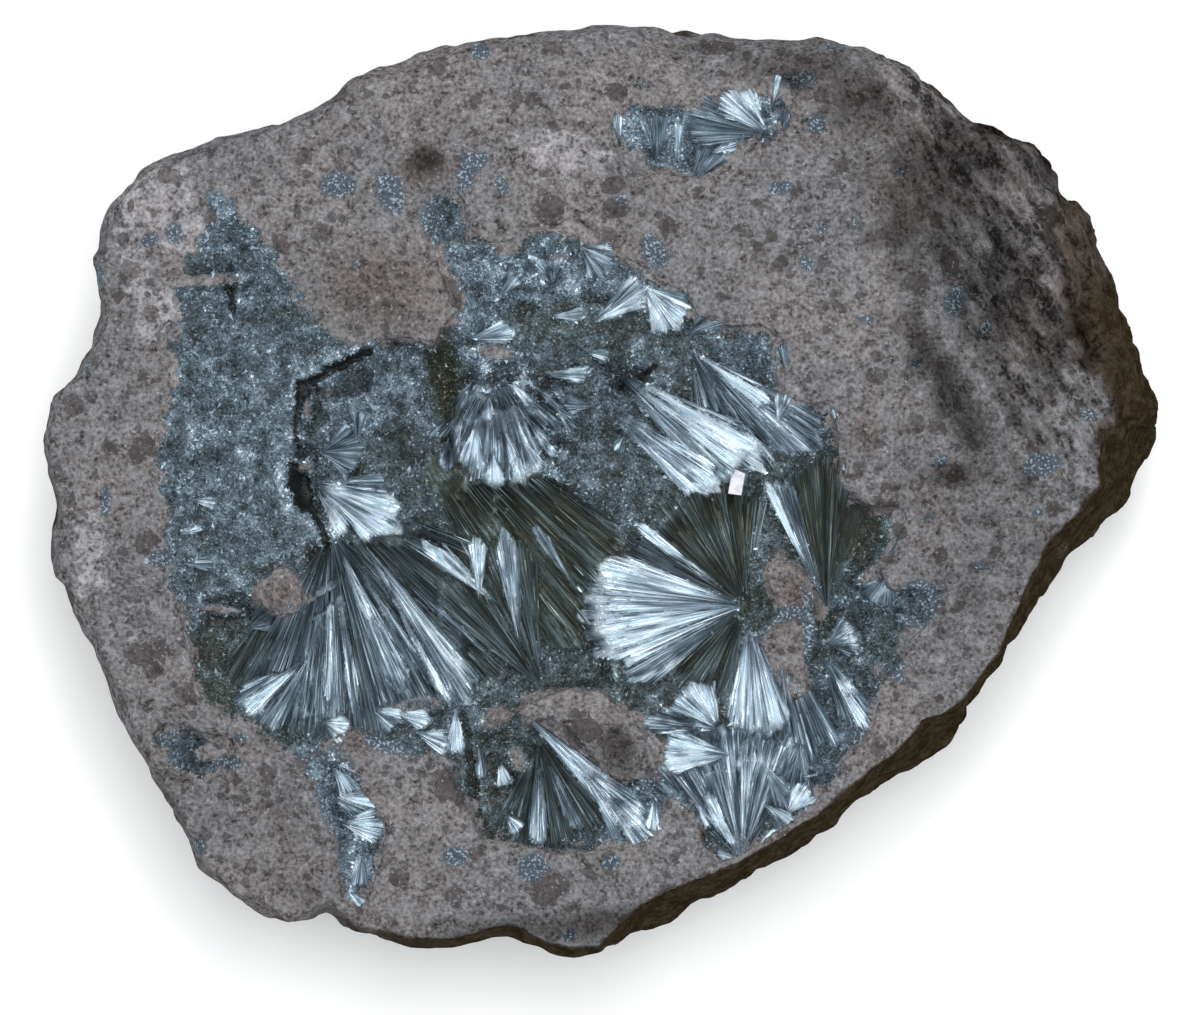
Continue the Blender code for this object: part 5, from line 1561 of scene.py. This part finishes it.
class SPECIMEN_OT_stage(bpy.types.Operator):
    """Set out the pale floor, the soft lights and the camera"""
    bl_idname = "specimen.stage"
    bl_label = "Stage"

    FLOOR_REACH = 12.0  # m from the block to the floor's edges
    KEY_PLACE = (0.08, 0.70, 1.45)  # m
    KEY_SIZE = 0.5  # m
    KEY_COLOUR = (1.0, 0.99, 0.97)
    TOP_PLACE = (0.05, 0.12, 2.0)  # m
    TOP_SIZE = 0.8  # m
    TOP_COLOUR = (1.0, 1.0, 1.0)
    FACE_DEPTH = 3 * MM  # from the top of the block to where the frame's width is measured

    def execute(self, context):
        stage = context.scene.specimen_stage
        reach = self.FLOOR_REACH
        corners = [(-reach, -reach, 0), (reach, -reach, 0), (reach, reach, 0), (-reach, reach, 0)]
        mesh = bpy.data.meshes.new("floor")
        mesh.from_pydata(corners, [], [(0, 1, 2, 3)])
        mesh.materials.append(floor_material(stage))
        link("floor", mesh)
        context.scene.world = even_light(stage)
        area_light("key", self.KEY_PLACE, self.KEY_SIZE, stage.key, self.KEY_COLOUR)
        area_light("top", self.TOP_PLACE, self.TOP_SIZE, stage.top, self.TOP_COLOUR)
        camera = bpy.data.objects.new("camera", bpy.data.cameras.new("camera"))
        camera.data.lens = stage.lens
        camera.data.sensor_width = SENSOR
        camera.data.clip_end = 100.0
        distance = stage.lens / SENSOR * stage.frame_width
        pixel = stage.frame_width / IMAGE_SIZE[0]
        camera.location = (
            (IMAGE_SIZE[0] / 2 - MIDDLE_PIXEL[0]) * pixel,
            (MIDDLE_PIXEL[1] - IMAGE_SIZE[1] / 2) * pixel,
            CAD_BOX[1].z - self.FACE_DEPTH + distance)
        context.scene.collection.objects.link(camera)
        context.scene.camera = camera
        context.scene.view_settings.view_transform = "Standard"
        return {"FINISHED"}


def floor_material(stage):
    """Pale, and faintly glowing, so that only soft shadows show."""
    shader = Shader("pale_floor")
    return shader.finish(
        Base_Color=tuple(stage.floor), Roughness=0.9, Emission_Color=(1.0, 1.0, 1.0),
        Emission_Strength=stage.floor_glow)


def even_light(stage):
    """A plain world that lights every side alike."""
    world = bpy.data.worlds.new("even_light")
    world.use_nodes = True
    background = world.node_tree.nodes["Background"]
    background.inputs["Color"].default_value = (*stage.sky_colour, 1.0)
    background.inputs["Strength"].default_value = stage.sky
    return world


SETTINGS = {
    "specimen_rock": RockSettings, "specimen_vein": VeinSettings, "specimen_stage": StageSettings,
}
OPERATORS = (
    SPECIMEN_OT_stage, SPECIMEN_OT_rock, SPECIMEN_OT_crusts, SPECIMEN_OT_sprays, SPECIMEN_OT_flake,
)


class SPECIMEN_PT_panel(bpy.types.Panel):
    """Settings and steps of the specimen"""
    bl_idname = "SPECIMEN_PT_panel"
    bl_label = "Pyrolusite"
    bl_space_type = "VIEW_3D"
    bl_region_type = "UI"
    bl_category = "Pyrolusite"

    def draw(self, context):
        for group in SETTINGS:
            box = self.layout.box()
            settings = getattr(context.scene, group)
            for name in settings.__annotations__:
                box.prop(settings, name)
        for operator in OPERATORS:
            self.layout.operator(operator.bl_idname)


def register():
    for cls in (*SETTINGS.values(), *OPERATORS, SPECIMEN_PT_panel):
        bpy.utils.register_class(cls)
    for name, cls in SETTINGS.items():
        setattr(bpy.types.Scene, name, bpy.props.PointerProperty(type=cls))


def unregister():
    for name in SETTINGS:
        delattr(bpy.types.Scene, name)
    for cls in reversed((*SETTINGS.values(), *OPERATORS, SPECIMEN_PT_panel)):
        bpy.utils.unregister_class(cls)


def main():
    register()
    for step in ("stage", "rock", "crusts", "sprays", "flake"):
        getattr(bpy.ops.specimen, step)()


if __name__ == "__main__":
    main()
